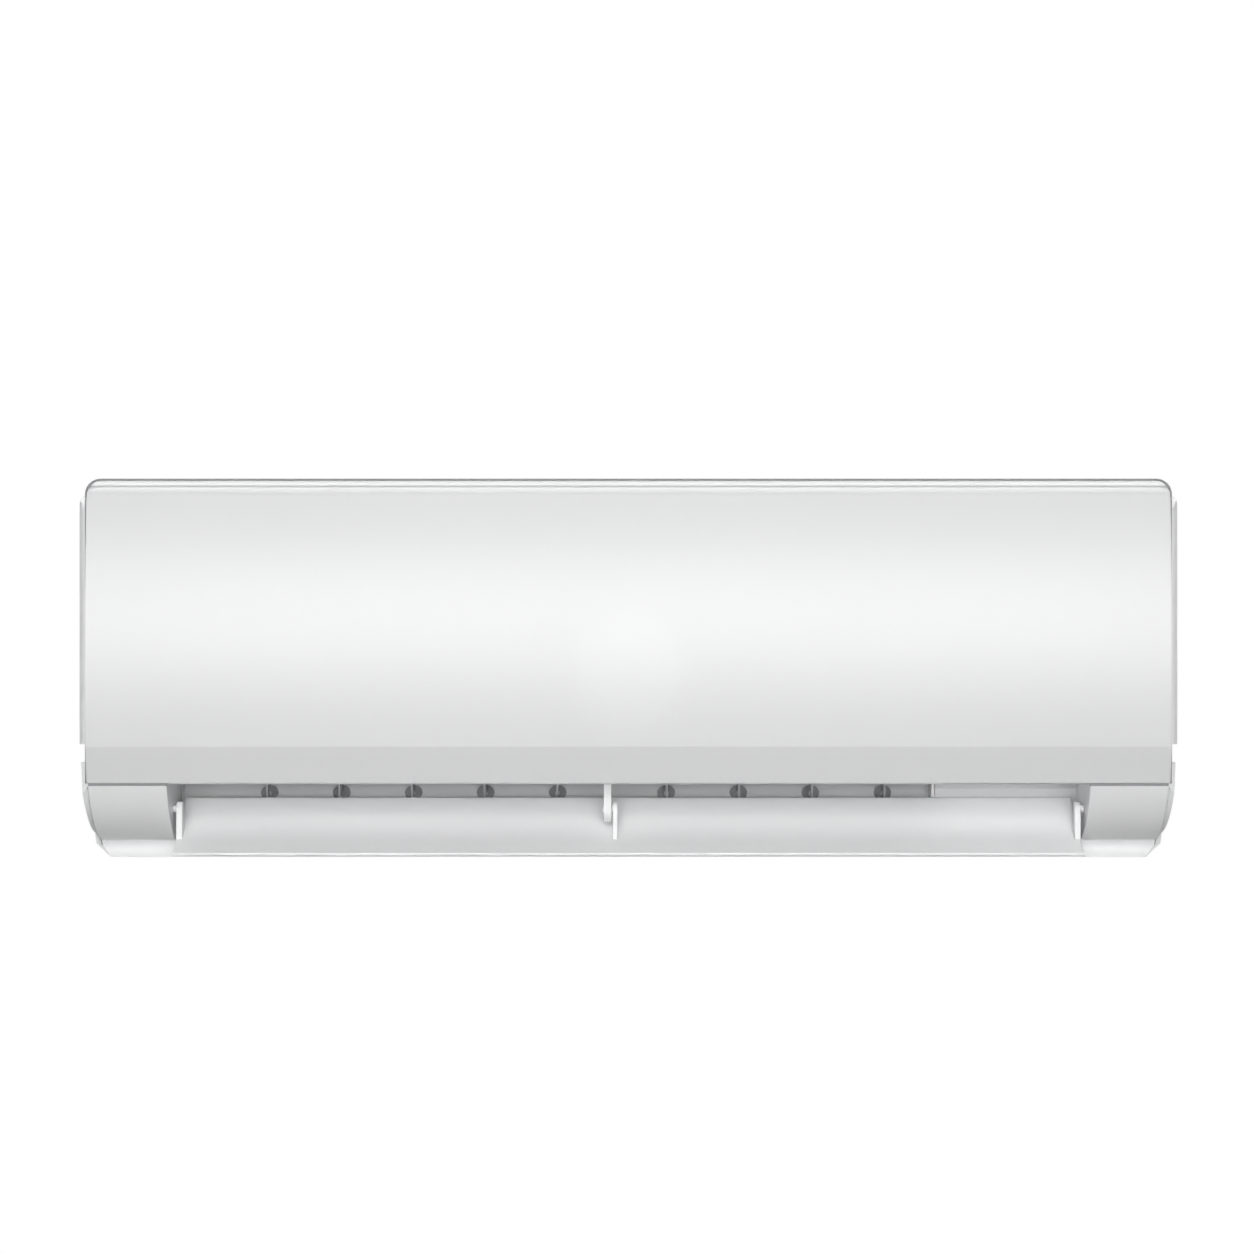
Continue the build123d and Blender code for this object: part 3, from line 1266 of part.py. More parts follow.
def pipe_sleeve():
    """Foam sleeve on the gas pipe's long run."""
    x0, x1 = pipe_end + 30, duct_right - 30
    return rod_x(x0, x1, gas_at, GAS_R + 4, 12) - rod_x(x0 - 1, x1 + 1, gas_at, GAS_R + SEAT_GAP, 10)


def pipe_holder():
    """Clip across the trough that keeps both pipes up against the chassis."""
    x0 = pipe_end + 14
    lower = liquid_at[1] - LIQUID_R - 3
    web = flat(
        (liquid_at[0] - 8, lower), (gas_at[0] + 10, lower), (gas_at[0] + 10, gas_at[1] + 9),
        (gas_at[0] - 12, gas_at[1] + 9), (liquid_at[0] - 8, liquid_at[1] + 8),
    )
    clip = along_x(web, x0, x0 + 12)
    clip -= rod_x(x0 - 1, x0 + 13, gas_at, GAS_R + SEAT_GAP, 10)
    clip -= rod_x(x0 - 1, x0 + 13, liquid_at, LIQUID_R + SEAT_GAP, 10)
    clip += block(x0, x0 + 12, gas_at[0] + 6, gas_at[0] + 10, bottom + WALL + 0.2, gas_at[1] + 9)
    return clip


# ---------------------------------------------------------------- wall plate and fasteners
def wall_plate():
    z0 = top - 46.5 - PLATE_HIGH
    z1 = top - 46.5
    face = flat((-PLATE_WIDE / 2 + 20, z0), (PLATE_WIDE / 2 - 20, z0), (PLATE_WIDE / 2, z0 + 20),
                (PLATE_WIDE / 2, z1), (-PLATE_WIDE / 2, z1), (-PLATE_WIDE / 2, z0 + 20))
    plate = along_y(face, -SHEET, 0)
    middle = (z0 + z1) / 2
    for z in (z0 + 12, z1 - 30):
        plate += block(-PLATE_WIDE / 2 + 60, PLATE_WIDE / 2 - 60, -4.5, -SHEET + 0.2, z, z + 6)
        plate -= block(-PLATE_WIDE / 2 + 61, PLATE_WIDE / 2 - 61, -4.5 + SHEET, 1, z + 1, z + 5)
    for x in (-HOOKS_X / 2, HOOKS_X / 2):
        plate += block(x - 10, x + 10, -SHEET - 7.5, -SHEET + 0.2, hook_z - 9.2, hook_z - 8)
        plate += block(x - 10, x + 10, -SHEET - 7.5, -SHEET - 6.3, hook_z - 9.2, hook_z - SEAT_GAP)
    for x in (-SCREWS_X / 2, SCREWS_X / 2):
        for z in (-SCREWS_Z / 2, SCREWS_Z / 2):
            plate -= rod_y(x, middle_z + z, -5, 1, SCREW_HOLE_R)
    return plate


middle_z = top - 46.5 - PLATE_HIGH / 2


def casing_screws():
    screws = Part()
    for x in (-outlet_half + 60, 0, outlet_half - 60):
        screws += rod_z(x, screw_y, bottom + 0.4, bottom + 2.2, 4.2, FEW)
        screws += rod_z(x, screw_y, bottom + 2.0, bottom + 7.5, 2.0, FEW)
    return screws


def drain_plug():
    """Rubber plug in the pan's unused outlet at the left end."""
    x1 = -outlet_half + 0.5
    return rod_x(x1 - 3.2, x1, (pan_front[0] + 20, pan_floor_z - 1.5), 4, FEW)


def coil_sensor():
    """Temperature sensor in its clip on a tube of the front coil's end."""
    at = beside(coil_foot, coil_knee, 43.0, -6.5)
    x0 = coil_right + COIL_SHEET + 0.2
    return rod_x(x0, x0 + 14, at, 2.5, FEW) + block(x0, x0 + 3, at[0] - 4, at[0] + 4, at[1] - 4, at[1] + 4)


# ---------------------------------------------------------------- writing
def main():
    os.makedirs("parts", exist_ok=True)
    save(front_panel(), "front_panel")
    save(front_frame(), "front_frame")
    save(side_cap(), "side_cap_right")
    save(left_cap(), "side_cap_left")
    save(filter_guide(), "filter_guide")
    save(intake_grille(), "intake_grille")
    right_cover = corner_cover()
    save(right_cover, "corner_cover_right")
    save(mirror(right_cover, about=Plane.YZ), "corner_cover_left")
    save(louver(), "louver")
    save(louver_bracket(), "louver_bracket")
    save(louver_motor(), "louver_motor")
    save(drain_pan(), "drain_pan")
    save(drain_plug(), "drain_plug")
    save(rear_chassis(), "rear_chassis")
    save(outlet_blank(), "outlet_blank")
    for n in range(VANES_LEFT + VANES_RIGHT):
        save(vane(n), "vane_" + str(n + 1))
    save(link(0, VANES_LEFT), "vane_link_left")
    save(link(VANES_LEFT, VANES_RIGHT), "vane_link_right")
    save(fan_wheel(), "fan_wheel")
    save(fan_stub(), "fan_stub_shaft")
    save(motor_shaft(), "motor_shaft")
    save(fan_motor(), "fan_motor")
    save(motor_rings(), "motor_rubber_rings")
    save(motor_clamp(), "motor_clamp")
    save(fan_bearing(), "fan_bearing")
    save(bearing_holder(), "bearing_holder")
    front_face, upper_face, rear_face = coil_faces()
    save(along_x(front_face, coil_left + COIL_SHEET, coil_right), "evaporator_front")
    save(along_x(upper_face, coil_left + COIL_SHEET, coil_right), "evaporator_upper")
    save(along_x(rear_face, coil_left + COIL_SHEET, coil_right), "evaporator_rear")
    save(end_sheet(coil_left), "coil_sheet_left")
    save(end_sheet(coil_right), "coil_sheet_right")
    save(return_bends(coil_left, -1), "return_bends_left")
    save(return_bends(coil_right + COIL_SHEET, 1), "return_bends_right")
    save(coil_sensor(), "coil_sensor")
    middle = (duct_left + duct_right) / 2
    save(filter_screen(duct_left + 3.4, middle - FILTER_SPLIT / 2), "filter_left")
    save(filter_screen(middle + FILTER_SPLIT / 2, duct_right - 3.4), "filter_right")
    save(control_box(), "control_box")
    save(control_board(), "control_board")
    save(control_box_cover(), "control_box_cover")
    save(terminal_block(), "terminal_block")
    save(terminal_cover(), "terminal_cover")
    save(manual_button(), "manual_button")
    save(receiver_board(), "receiver_board")
    gas_start = beside(coil_apex, coil_rear, 70.0, 8.0)
    liquid_start = beside(coil_foot, coil_knee, 5.0, -8.0)
    pipe_x = coil_right + COIL_SHEET + BEND_R + TUBE_R + PIPE_GAP + GAS_R
    save(pipe(gas_start, pipe_x, gas_at, GAS_R), "gas_pipe")
    save(pipe(liquid_start, pipe_x, liquid_at, LIQUID_R), "liquid_pipe")
    save(flare_nut(gas_at, GAS_R, 7.2, 11.0, 24.0), "flare_nut_gas")
    save(flare_nut(liquid_at, LIQUID_R, 5.0, 8.5, 22.0), "flare_nut_liquid")
    save(pipe_sleeve(), "pipe_sleeve")
    save(pipe_holder(), "pipe_holder")
    save(wall_plate(), "wall_plate")
    save(casing_screws(), "casing_screws")


main()
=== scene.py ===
import json
import math

import bmesh
import bpy
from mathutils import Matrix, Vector


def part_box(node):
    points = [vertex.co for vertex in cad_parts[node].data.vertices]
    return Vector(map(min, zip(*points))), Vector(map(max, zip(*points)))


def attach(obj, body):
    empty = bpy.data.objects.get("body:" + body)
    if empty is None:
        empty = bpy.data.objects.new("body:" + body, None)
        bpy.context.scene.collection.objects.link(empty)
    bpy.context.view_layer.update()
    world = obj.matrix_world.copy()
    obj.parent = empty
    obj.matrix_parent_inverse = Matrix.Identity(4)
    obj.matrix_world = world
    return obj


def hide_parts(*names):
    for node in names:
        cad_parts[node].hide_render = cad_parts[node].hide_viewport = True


# ---------------------------------------------------------------- what the photograph fixes
CAMERA_AT = (-0.0011, -2.635, 0.033)      # in front of the unit, looking straight at the wall
HALF_ANGLE = math.radians(11.15)          # half of the square frame
SENSOR_WIDE = 36.0                        # millimetres

# ---------------------------------------------------------------- light, in plain values
WORLD_LEVEL = 0.13          # soft light from everywhere, on the object
FLOOR_Z = -1.2
FLOOR_RADIUS = 2.2
FLOOR_SIDES = 96
FLOOR_GLOW = 0.5            # keeps the background pale, lights no other surface
LAMP_SPREAD = math.radians(60)     # narrows the soft lamps
UNIT_MIDDLE = (0.0, -0.15, 0.0)

# name: (place, width and height, power), all aimed at the middle of the unit
SOFT_LAMPS = {              # light the surfaces and stay out of mirror images
    "key": ((0.0, -2.5, 0.85), (2.8, 0.9), 5.5),
    "level": ((0.0, -2.8, -0.08), (2.8, 0.6), 6.2),
    "high": ((0.0, -1.2, 2.2), (2.8, 1.0), 1.6),
    "behind": ((0.0, 2.4, 0.8), (2.4, 1.0), 7.0),
}
MIRROR_LAMPS = {            # seen only as highlights on glossy surfaces
    "softbox": ((0.0, -3.5, 0.30), (3.4, 0.80), 42.0),
    "overhead": ((0.0, -0.3, 2.1), (3.0, 2.6), 95.0),
    "front_top": ((0.0, -2.3, 2.0), (3.0, 1.2), 20.0),
    "left_strip": ((-2.2, -0.9, 0.1), (1.0, 1.2), 15.0),
    "right_strip": ((2.2, -0.9, 0.1), (1.0, 1.2), 15.0),
}

# ---------------------------------------------------------------- textures
# scales in cycles per metre, pitches and depths in metres
PLASTIC_MOTTLE = 9.0
PLASTIC_WEAR = 40.0
PLASTIC_IOR = 1.5
COAT_ROUGHNESS = 0.22
SHEET_CRYSTALS = 120.0
SHEET_WEAR = 60.0
SHEET_GRAIN = 900.0
SHEET_DEPTH = 0.00001
DRAWN_TARNISH = 45.0
DRAWN_WEAR = 150.0
DRAWN_MARKS = 700.0
DRAWN_DEPTH = 0.000012
FIN_PITCH = 0.0016
FIN_DEPTH = 0.0004
NET_PITCH = 0.0022
NET_DEPTH = 0.0004
FOAM_CELLS = 900.0
FOAM_DEPTH = 0.0003
BOARD_TRACKS = 90.0
BOARD_GAP = 0.012           # share of a track
BOARD_DEPTH = 0.00005
NOISE_LOW = 0.3             # most of a noise texture's values lie between these two
NOISE_HIGH = 0.7
WAVE_FACTOR = 20.0          # Blender's wave texture multiplies its scale by this

# ---------------------------------------------------------------- finer pieces, in metres
FAN_BLADES = 35
FAN_CELLS = 9
FAN_STAGGER = 0.5           # each cell's blades start this share of a pitch further
FAN_RING_THICK = 0.0022
FAN_RING_EXTRA = 0.0008     # the rings reach this far inside the blades
FAN_SIDES = 72
HUB_SIDES = 40
MOTOR_HUB = (0.001, 0.016, 0.012)      # from the wheel's end, to, radius
BEARING_HUB = (0.001, 0.010, 0.009)
BLADE_DEEP = 0.0115
BLADE_THICK = 0.0013
BLADE_THINNING = 0.5        # share of its thickness that a blade loses towards both edges
BLADE_SWEEP = 0.20          # radians, root to tip
BLADE_CURVE = 1.6           # above 1 the sweep grows towards the tip
BLADE_STEPS = 5
BLADE_TIP_IN = 0.0006       # blade tips stay inside the rings
BLADE_BITE = 0.0002         # blades run into the rings
GRILLE_BORDER = 0.006
GRILLE_BITE = 0.0005        # slats and bars run into the border
SLAT_PITCH = 0.0092
SLAT_THICK = 0.0019
SLAT_UP = 0.0004            # slats start above the grille's underside
SLAT_DOWN = 0.0003          # and end below its top
BAR_PITCH = 0.048
BAR_THICK = 0.0024
BAR_DOWN = 0.0008
FILTER_ROUND = 0.040
FILTER_ROUND_STEPS = 10
FILTER_THICK = 0.002
FILTER_RIBS = 4
FRAME_WIDE = 0.006
FRAME_PROUD = 0.00012
RIB_WIDE = 0.0028
FRONT_RIBS_UP = (0.055, 0.105)
TOP_RIB_IN = 0.05
PEG_R = 0.0016
PEG_TIP = 0.55              # share of the radius left at the tip
PEG_AHEAD = 0.003
PEG_FROM = 0.0015
PEG_TO = 0.0062
PEG_SIDES = 16
RIM_SHADE_PROUD = 0.0011         # grey strip round the front panel's rim, painted shade for the gap at its edge
RIM_SHADE_WIDE = 0.0014
RIM_SHADE_FROM = 0.0076          # behind the panel's front
RIM_SHADE_TO = 0.0102
PANEL_CORNER = 0.012
CORNER_STEPS = 8
EDGE_SHADE_WIDE = 0.0011          # painted shade: dark line down the outer edge of a corner cover
EDGE_SHADE_BACK = 0.0004
EDGE_SHADE_DEEP = 0.0026
EDGE_SHADE_REACH = 0.0032
EDGE_SHADE_FOOT = 0.009
GAP_SHADE_BACK = 0.0015         # painted shade: strip in the gap between cover and panel
GAP_SHADE_DEEP = 0.002
GAP_SHADE_BITE = 0.0003         # into the cover
GAP_SHADE_CLEAR = 0.0002          # to the panel

# nodes given a lighter or darker copy of their slot's material: painted light on the louver and its bracket,
# painted shade on the outlet blank
LIT_AND_SHADED_COPIES = {"louver": "painted_light_satin", "louver_bracket": "painted_light_satin", "outlet_blank": "painted_shade_plastic"}

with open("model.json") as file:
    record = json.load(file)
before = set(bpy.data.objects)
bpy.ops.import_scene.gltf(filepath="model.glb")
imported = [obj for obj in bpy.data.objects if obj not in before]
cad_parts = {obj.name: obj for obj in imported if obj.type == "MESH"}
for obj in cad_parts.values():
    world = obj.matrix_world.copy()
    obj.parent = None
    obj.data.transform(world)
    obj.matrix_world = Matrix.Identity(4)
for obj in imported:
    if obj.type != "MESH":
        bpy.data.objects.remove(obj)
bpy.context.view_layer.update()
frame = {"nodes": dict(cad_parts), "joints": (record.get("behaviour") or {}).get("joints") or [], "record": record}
nodes = frame["nodes"]


# ---------------------------------------------------------------- shader helpers
def new_material(name):
    """A material with an empty node tree but for its output and shader."""
    material = bpy.data.materials.new(name)
    material.use_nodes = True
    tree = material.node_tree
    tree.nodes.clear()
    output = tree.nodes.new("ShaderNodeOutputMaterial")
    shader = tree.nodes.new("ShaderNodeBsdfPrincipled")
    tree.links.new(shader.outputs["BSDF"], output.inputs["Surface"])
    return material, tree, shader


def object_point(tree):
    """The point on the object in metres, for textures that keep their real scale."""
    return tree.nodes.new("ShaderNodeTexCoord").outputs["Object"]


def noise(tree, scale, detail=3.0):
    """Fractal noise at a scale given in cycles per metre."""
    node = tree.nodes.new("ShaderNodeTexNoise")
    node.inputs["Scale"].default_value = scale
    node.inputs["Detail"].default_value = detail
    node.inputs["Roughness"].default_value = 0.55
    tree.links.new(object_point(tree), node.inputs["Vector"])
    return node.outputs["Fac"]


def spread(tree, value, low, high):
    """A noise value spread over low to high. Its rare extremes go a little past them."""
    node = tree.nodes.new("ShaderNodeMapRange")
    node.inputs["From Min"].default_value = NOISE_LOW
    node.inputs["From Max"].default_value = NOISE_HIGH
    node.inputs["To Min"].default_value = low
    node.inputs["To Max"].default_value = high
    node.clamp = False
    tree.links.new(value, node.inputs["Value"])
    return node.outputs["Result"]


def between(tree, value, dark, light):
    """A colour between two, picked by a value."""
    node = tree.nodes.new("ShaderNodeMix")
    node.data_type = "RGBA"
    node.inputs["A"].default_value = (*dark, 1.0)
    node.inputs["B"].default_value = (*light, 1.0)
    tree.links.new(value, node.inputs["Factor"])
    return node.outputs["Result"]


def bump(tree, height, depth, normal=None):
    """A bump of a real depth in metres."""
    node = tree.nodes.new("ShaderNodeBump")
    node.inputs["Distance"].default_value = depth
    node.inputs["Strength"].default_value = 1.0
    tree.links.new(height, node.inputs["Height"])
    if normal is not None:
        tree.links.new(normal, node.inputs["Normal"])
    return node.outputs["Normal"]


def soft_edges(tree, radius):
    """Normals rounded over the edges of a moulding."""
    node = tree.nodes.new("ShaderNodeBevel")
    node.samples = 6
    node.inputs["Radius"].default_value = radius
    return node.outputs["Normal"]


def shade(colour, factor):
    """A colour made darker or lighter."""
    return tuple(min(1.0, part * factor) for part in colour)


# ---------------------------------------------------------------- materials
def moulded(name, colour, roughness, grain=2600.0, depth=0.0000008, edge=0.0009, coat=0.0, mirror=0.5):
    """Moulded plastic: slight shade variation, fine surface grain, rounded edges.

    mirror is how strongly it reflects (0.5 is plain plastic), coat the share of clear gloss on top.
    """
    material, tree, shader = new_material(name)
    tint = between(tree, noise(tree, PLASTIC_MOTTLE), shade(colour, 0.985), colour)
    tree.links.new(tint, shader.inputs["Base Color"])
    worn = spread(tree, noise(tree, PLASTIC_WEAR), roughness * 0.96, roughness * 1.04)
    tree.links.new(worn, shader.inputs["Roughness"])
    normal = bump(tree, noise(tree, grain), depth, soft_edges(tree, edge))
    tree.links.new(normal, shader.inputs["Normal"])
    shader.inputs["IOR"].default_value = PLASTIC_IOR
    shader.inputs["Specular IOR Level"].default_value = mirror
    shader.inputs["Coat Weight"].default_value = coat
    shader.inputs["Coat Roughness"].default_value = COAT_ROUGHNESS
    return material


def sheet_metal(name, colour, roughness):
    """Galvanised sheet: grey metal with large crystals."""
    material, tree, shader = new_material(name)
    cells = tree.nodes.new("ShaderNodeTexVoronoi")
    cells.inputs["Scale"].default_value = SHEET_CRYSTALS
    tree.links.new(object_point(tree), cells.inputs["Vector"])
    tint = between(tree, cells.outputs["Color"], shade(colour, 0.86), shade(colour, 1.08))
    tree.links.new(tint, shader.inputs["Base Color"])
    worn = spread(tree, noise(tree, SHEET_WEAR), roughness * 0.8, roughness * 1.2)
    tree.links.new(worn, shader.inputs["Roughness"])
    tree.links.new(bump(tree, noise(tree, SHEET_GRAIN), SHEET_DEPTH), shader.inputs["Normal"])
    shader.inputs["Metallic"].default_value = 1.0
    return material


def drawn_metal(name, colour, roughness):
    """Tube, rod or nut: metal with fine tool marks and a little tarnish."""
    material, tree, shader = new_material(name)
    tint = between(tree, noise(tree, DRAWN_TARNISH), shade(colour, 0.8), colour)
    tree.links.new(tint, shader.inputs["Base Color"])
    worn = spread(tree, noise(tree, DRAWN_WEAR), roughness * 0.75, roughness * 1.25)
    tree.links.new(worn, shader.inputs["Roughness"])
    tree.links.new(bump(tree, noise(tree, DRAWN_MARKS, detail=2.0), DRAWN_DEPTH), shader.inputs["Normal"])
    shader.inputs["Metallic"].default_value = 1.0
    return material


def stripes(tree, pitch, axis="X"):
    """A 0 to 1 wave along one axis with the given pitch in metres."""
    node = tree.nodes.new("ShaderNodeTexWave")
    node.wave_type = "BANDS"
    node.bands_direction = axis
    node.wave_profile = "TRI"
    node.inputs["Scale"].default_value = 1.0 / (pitch * WAVE_FACTOR)
    node.inputs["Distortion"].default_value = 0.0
    node.inputs["Detail"].default_value = 0.0
    stretch = tree.nodes.new("ShaderNodeVectorMath")
    stretch.operation = "SCALE"
    stretch.inputs["Scale"].default_value = 2.0 * math.pi
    tree.links.new(object_point(tree), stretch.inputs[0])
    tree.links.new(stretch.outputs["Vector"], node.inputs["Vector"])
    return node.outputs["Fac"]


def finned(name, colour):
    """Stack of thin aluminium fins seen edge on, with painted shade in the dark gaps between them."""
    material, tree, shader = new_material(name)
    fins_and_gap_shade = stripes(tree, FIN_PITCH)
    # the dark bands are painted shade in the gaps between fins
    tint = between(tree, fins_and_gap_shade, shade(colour, 0.25), colour)
    tree.links.new(tint, shader.inputs["Base Color"])
    tree.links.new(bump(tree, fins_and_gap_shade, FIN_DEPTH), shader.inputs["Normal"])
    shader.inputs["Metallic"].default_value = 0.85
    shader.inputs["Roughness"].default_value = 0.42
    return material


def netting(name, colour):
    """Filter: fine square mesh over a darker ground."""
    material, tree, shader = new_material(name)
    across = stripes(tree, NET_PITCH, "X")
    along = stripes(tree, NET_PITCH, "Z")
    both = tree.nodes.new("ShaderNodeMath")
    both.operation = "MAXIMUM"
    tree.links.new(across, both.inputs[0])
    tree.links.new(along, both.inputs[1])
    tint = between(tree, both.outputs[0], shade(colour, 0.35), shade(colour, 1.25))
    tree.links.new(tint, shader.inputs["Base Color"])
    tree.links.new(bump(tree, both.outputs[0], NET_DEPTH), shader.inputs["Normal"])
    shader.inputs["Roughness"].default_value = 0.6
    return material


def spongy(name, colour):
    """Closed-cell foam."""
    material, tree, shader = new_material(name)
    cells = tree.nodes.new("ShaderNodeTexVoronoi")
    cells.inputs["Scale"].default_value = FOAM_CELLS
    tree.links.new(object_point(tree), cells.inputs["Vector"])
    tint = between(tree, cells.outputs["Distance"], shade(colour, 0.8), colour)
    tree.links.new(tint, shader.inputs["Base Color"])
    tree.links.new(bump(tree, cells.outputs["Distance"], FOAM_DEPTH), shader.inputs["Normal"])
    shader.inputs["Roughness"].default_value = 0.85
    return material


def laminate(name, colour):
    """Circuit board: coated green ground with paler tracks."""
    material, tree, shader = new_material(name)
    bricks = tree.nodes.new("ShaderNodeTexBrick")
    bricks.inputs["Scale"].default_value = BOARD_TRACKS
    bricks.inputs["Color1"].default_value = (*colour, 1.0)
    bricks.inputs["Color2"].default_value = (*shade(colour, 0.8), 1.0)
    bricks.inputs["Mortar"].default_value = (*shade(colour, 1.7), 1.0)
    bricks.inputs["Mortar Size"].default_value = BOARD_GAP
    tree.links.new(object_point(tree), bricks.inputs["Vector"])
    tree.links.new(bricks.outputs["Color"], shader.inputs["Base Color"])
    tree.links.new(bump(tree, bricks.outputs["Fac"], BOARD_DEPTH), shader.inputs["Normal"])
    shader.inputs["Roughness"].default_value = 0.35
    return material


def make_materials():
    """One material per slot of the record, the lighter and darker copies given to single nodes (painted light and
    painted shade), and the painted shade grey of the rim and cover strips.
    """
    return {
        "gloss_white": moulded("gloss_white", (0.62, 0.623, 0.628), 0.30, edge=0.0016, coat=0.7),
        "satin_white": moulded("satin_white", (0.80, 0.804, 0.81), 0.36, edge=0.0011),
        # lighter copy of satin_white: painted light on the louver, its bracket and the vane pegs
        "painted_light_satin": moulded("painted_light_satin", (0.90, 0.903, 0.907), 0.36, edge=0.0011, mirror=0.05),
        "pale_plastic": moulded("pale_plastic", (0.80, 0.804, 0.81), 0.5),
        # darker copy of pale_plastic: painted shade on the outlet blank
        "painted_shade_plastic": moulded("painted_shade_plastic", (0.68, 0.684, 0.69), 0.5),
        "grey_plastic": moulded("grey_plastic", (0.34, 0.345, 0.355), 0.5),
        # dark grey of the strips round the panel's rim and down the corner covers: painted shade
        "painted_shade_grey": moulded("painted_shade_grey", (0.24, 0.243, 0.25), 0.6),
        "black_plastic": moulded("black_plastic", (0.03, 0.03, 0.032), 0.45),
        "dark_plastic": moulded("dark_plastic", (0.045, 0.046, 0.05), 0.5),
        "filter_net": netting("filter_net", (0.14, 0.15, 0.17)),
        "galvanised": sheet_metal("galvanised", (0.60, 0.62, 0.63), 0.42),
        "aluminium_fins": finned("aluminium_fins", (0.80, 0.82, 0.84)),
        "copper": drawn_metal("copper", (0.78, 0.40, 0.26), 0.3),
        "brass_nuts": drawn_metal("brass_nuts", (0.78, 0.58, 0.30), 0.3),
        "steel": drawn_metal("steel", (0.55, 0.56, 0.58), 0.35),
        "rubber": moulded("rubber", (0.025, 0.025, 0.026), 0.75, grain=1500.0, depth=0.00002),
        "foam": spongy("foam", (0.72, 0.72, 0.70)),
        "circuit_board": laminate("circuit_board", (0.02, 0.14, 0.06)),
    }


def dress_nodes(materials):
    """Each CAD node gets its slot's material, or a lighter or darker copy of it that holds painted light or shade.
    """
    for entry in frame["record"]["subparts"]:
        node = nodes[entry["node"]]
        node.data.materials.clear()
        node.data.materials.append(materials[entry["material_slot"]])
    for name, finish in LIT_AND_SHADED_COPIES.items():
        nodes[name].data.materials.clear()
        nodes[name].data.materials.append(materials[finish])


# ---------------------------------------------------------------- finer pieces
class Form:
    """Points and faces gathered from simple closed forms."""

    def __init__(self):
        self.points = []
        self.faces = []

    def loft(self, loops):
        """Skin a row of point loops of equal length and close both ends."""
        first = len(self.points)
        count = len(loops[0])
        for loop in loops:
            self.points.extend(loop)
        for n in range(len(loops) - 1):
            a, b = first + n * count, first + (n + 1) * count
            for k in range(count):
                m = (k + 1) % count
                self.faces.append((a + k, a + m, b + m, b + k))
        last = first + (len(loops) - 1) * count
        self.faces.append(tuple(range(first + count - 1, first - 1, -1)))
        self.faces.append(tuple(range(last, last + count)))

    def ring(self, loops):
        """Skin a row of point loops and join the last to the first."""
        first = len(self.points)
        count = len(loops[0])
        for loop in loops:
            self.points.extend(loop)
        for n in range(len(loops)):
            a, b = first + n * count, first + (n + 1) % len(loops) * count
            for k in range(count):
                m = (k + 1) % count
                self.faces.append((a + k, a + m, b + m, b + k))

    def box(self, lo, hi):
        """A square-edged block between two corners."""
        self.loft([
            [(x, lo[1], lo[2]), (x, hi[1], lo[2]), (x, hi[1], hi[2]), (x, lo[1], hi[2])]
            for x in (lo[0], hi[0])
        ])

    def piece(self, name, material, body, slot):
        """The form as a piece that rides on a body."""
        mesh = bpy.data.meshes.new(name)
        mesh.from_pydata(self.points, [], self.faces)
        mesh.update()
        tidy = bmesh.new()
        tidy.from_mesh(mesh)
        bmesh.ops.recalc_face_normals(tidy, faces=tidy.faces)
        tidy.to_mesh(mesh)
        tidy.free()
        mesh.materials.append(material)
        piece = bpy.data.objects.new(name, mesh)
        bpy.context.scene.collection.objects.link(piece)
        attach(piece, body)
        return piece


def blade_section(inner, outer):
    """Section of a forward-curved fan blade, as (radius, angle) points."""
    front, back = [], []
    for n in range(BLADE_STEPS + 1):
        share = n / BLADE_STEPS
        radius = inner + (outer - inner) * share
        angle = BLADE_SWEEP * share**BLADE_CURVE
        half_thick = BLADE_THICK / 2 * (1 - BLADE_THINNING * abs(2 * share - 1)) / radius
        front.append((radius, angle + half_thick))
        back.append((radius, angle - half_thick))
    return front + back[::-1]


def round_loop(x, radius, count, centre):
    """A circle of points square to X."""
    turn = 2 * math.pi / count
    return [
        (x, centre[0] + radius * math.cos(k * turn), centre[1] + radius * math.sin(k * turn))
        for k in range(count)
    ]


def fan_rotor(material):
    """Cross-flow wheel with its full count of curved blades."""
    lo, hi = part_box("fan_wheel")
    outer = (hi[2] - lo[2]) / 2
    centre = ((lo[1] + hi[1]) / 2, (lo[2] + hi[2]) / 2)
    inner = outer - BLADE_DEEP
    bore = inner - FAN_RING_EXTRA
    cell = (hi[0] - lo[0] - FAN_RING_THICK) / FAN_CELLS
    form = Form()
    for n in range(FAN_CELLS + 1):
        x0 = lo[0] + n * cell
        x1 = x0 + FAN_RING_THICK
        if n in (0, FAN_CELLS):
            form.loft([round_loop(x, outer, FAN_SIDES, centre) for x in (x0, x1)])
        else:
            form.ring([
                round_loop(x, radius, FAN_SIDES, centre)
                for x, radius in ((x0, outer), (x1, outer), (x1, bore), (x0, bore))
            ])
    section = blade_section(inner, outer - BLADE_TIP_IN)
    for n in range(FAN_CELLS):
        x0 = lo[0] + n * cell + FAN_RING_THICK - BLADE_BITE
        x1 = lo[0] + (n + 1) * cell + BLADE_BITE
        for b in range(FAN_BLADES):
            start = (b + n * FAN_STAGGER) * 2 * math.pi / FAN_BLADES
            form.loft([
                [
                    (x, centre[0] + r * math.cos(a + start), centre[1] + r * math.sin(a + start))
                    for r, a in section
                ]
                for x in (x0, x1)
            ])
    near, far, radius = MOTOR_HUB
    form.loft([round_loop(x, radius, HUB_SIDES, centre) for x in (hi[0] - far, hi[0] - near)])
    near, far, radius = BEARING_HUB
    form.loft([round_loop(x, radius, HUB_SIDES, centre) for x in (lo[0] + near, lo[0] + far)])
    piece = form.piece("fan_rotor", material, "fan", "dark_plastic")
    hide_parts("fan_wheel")


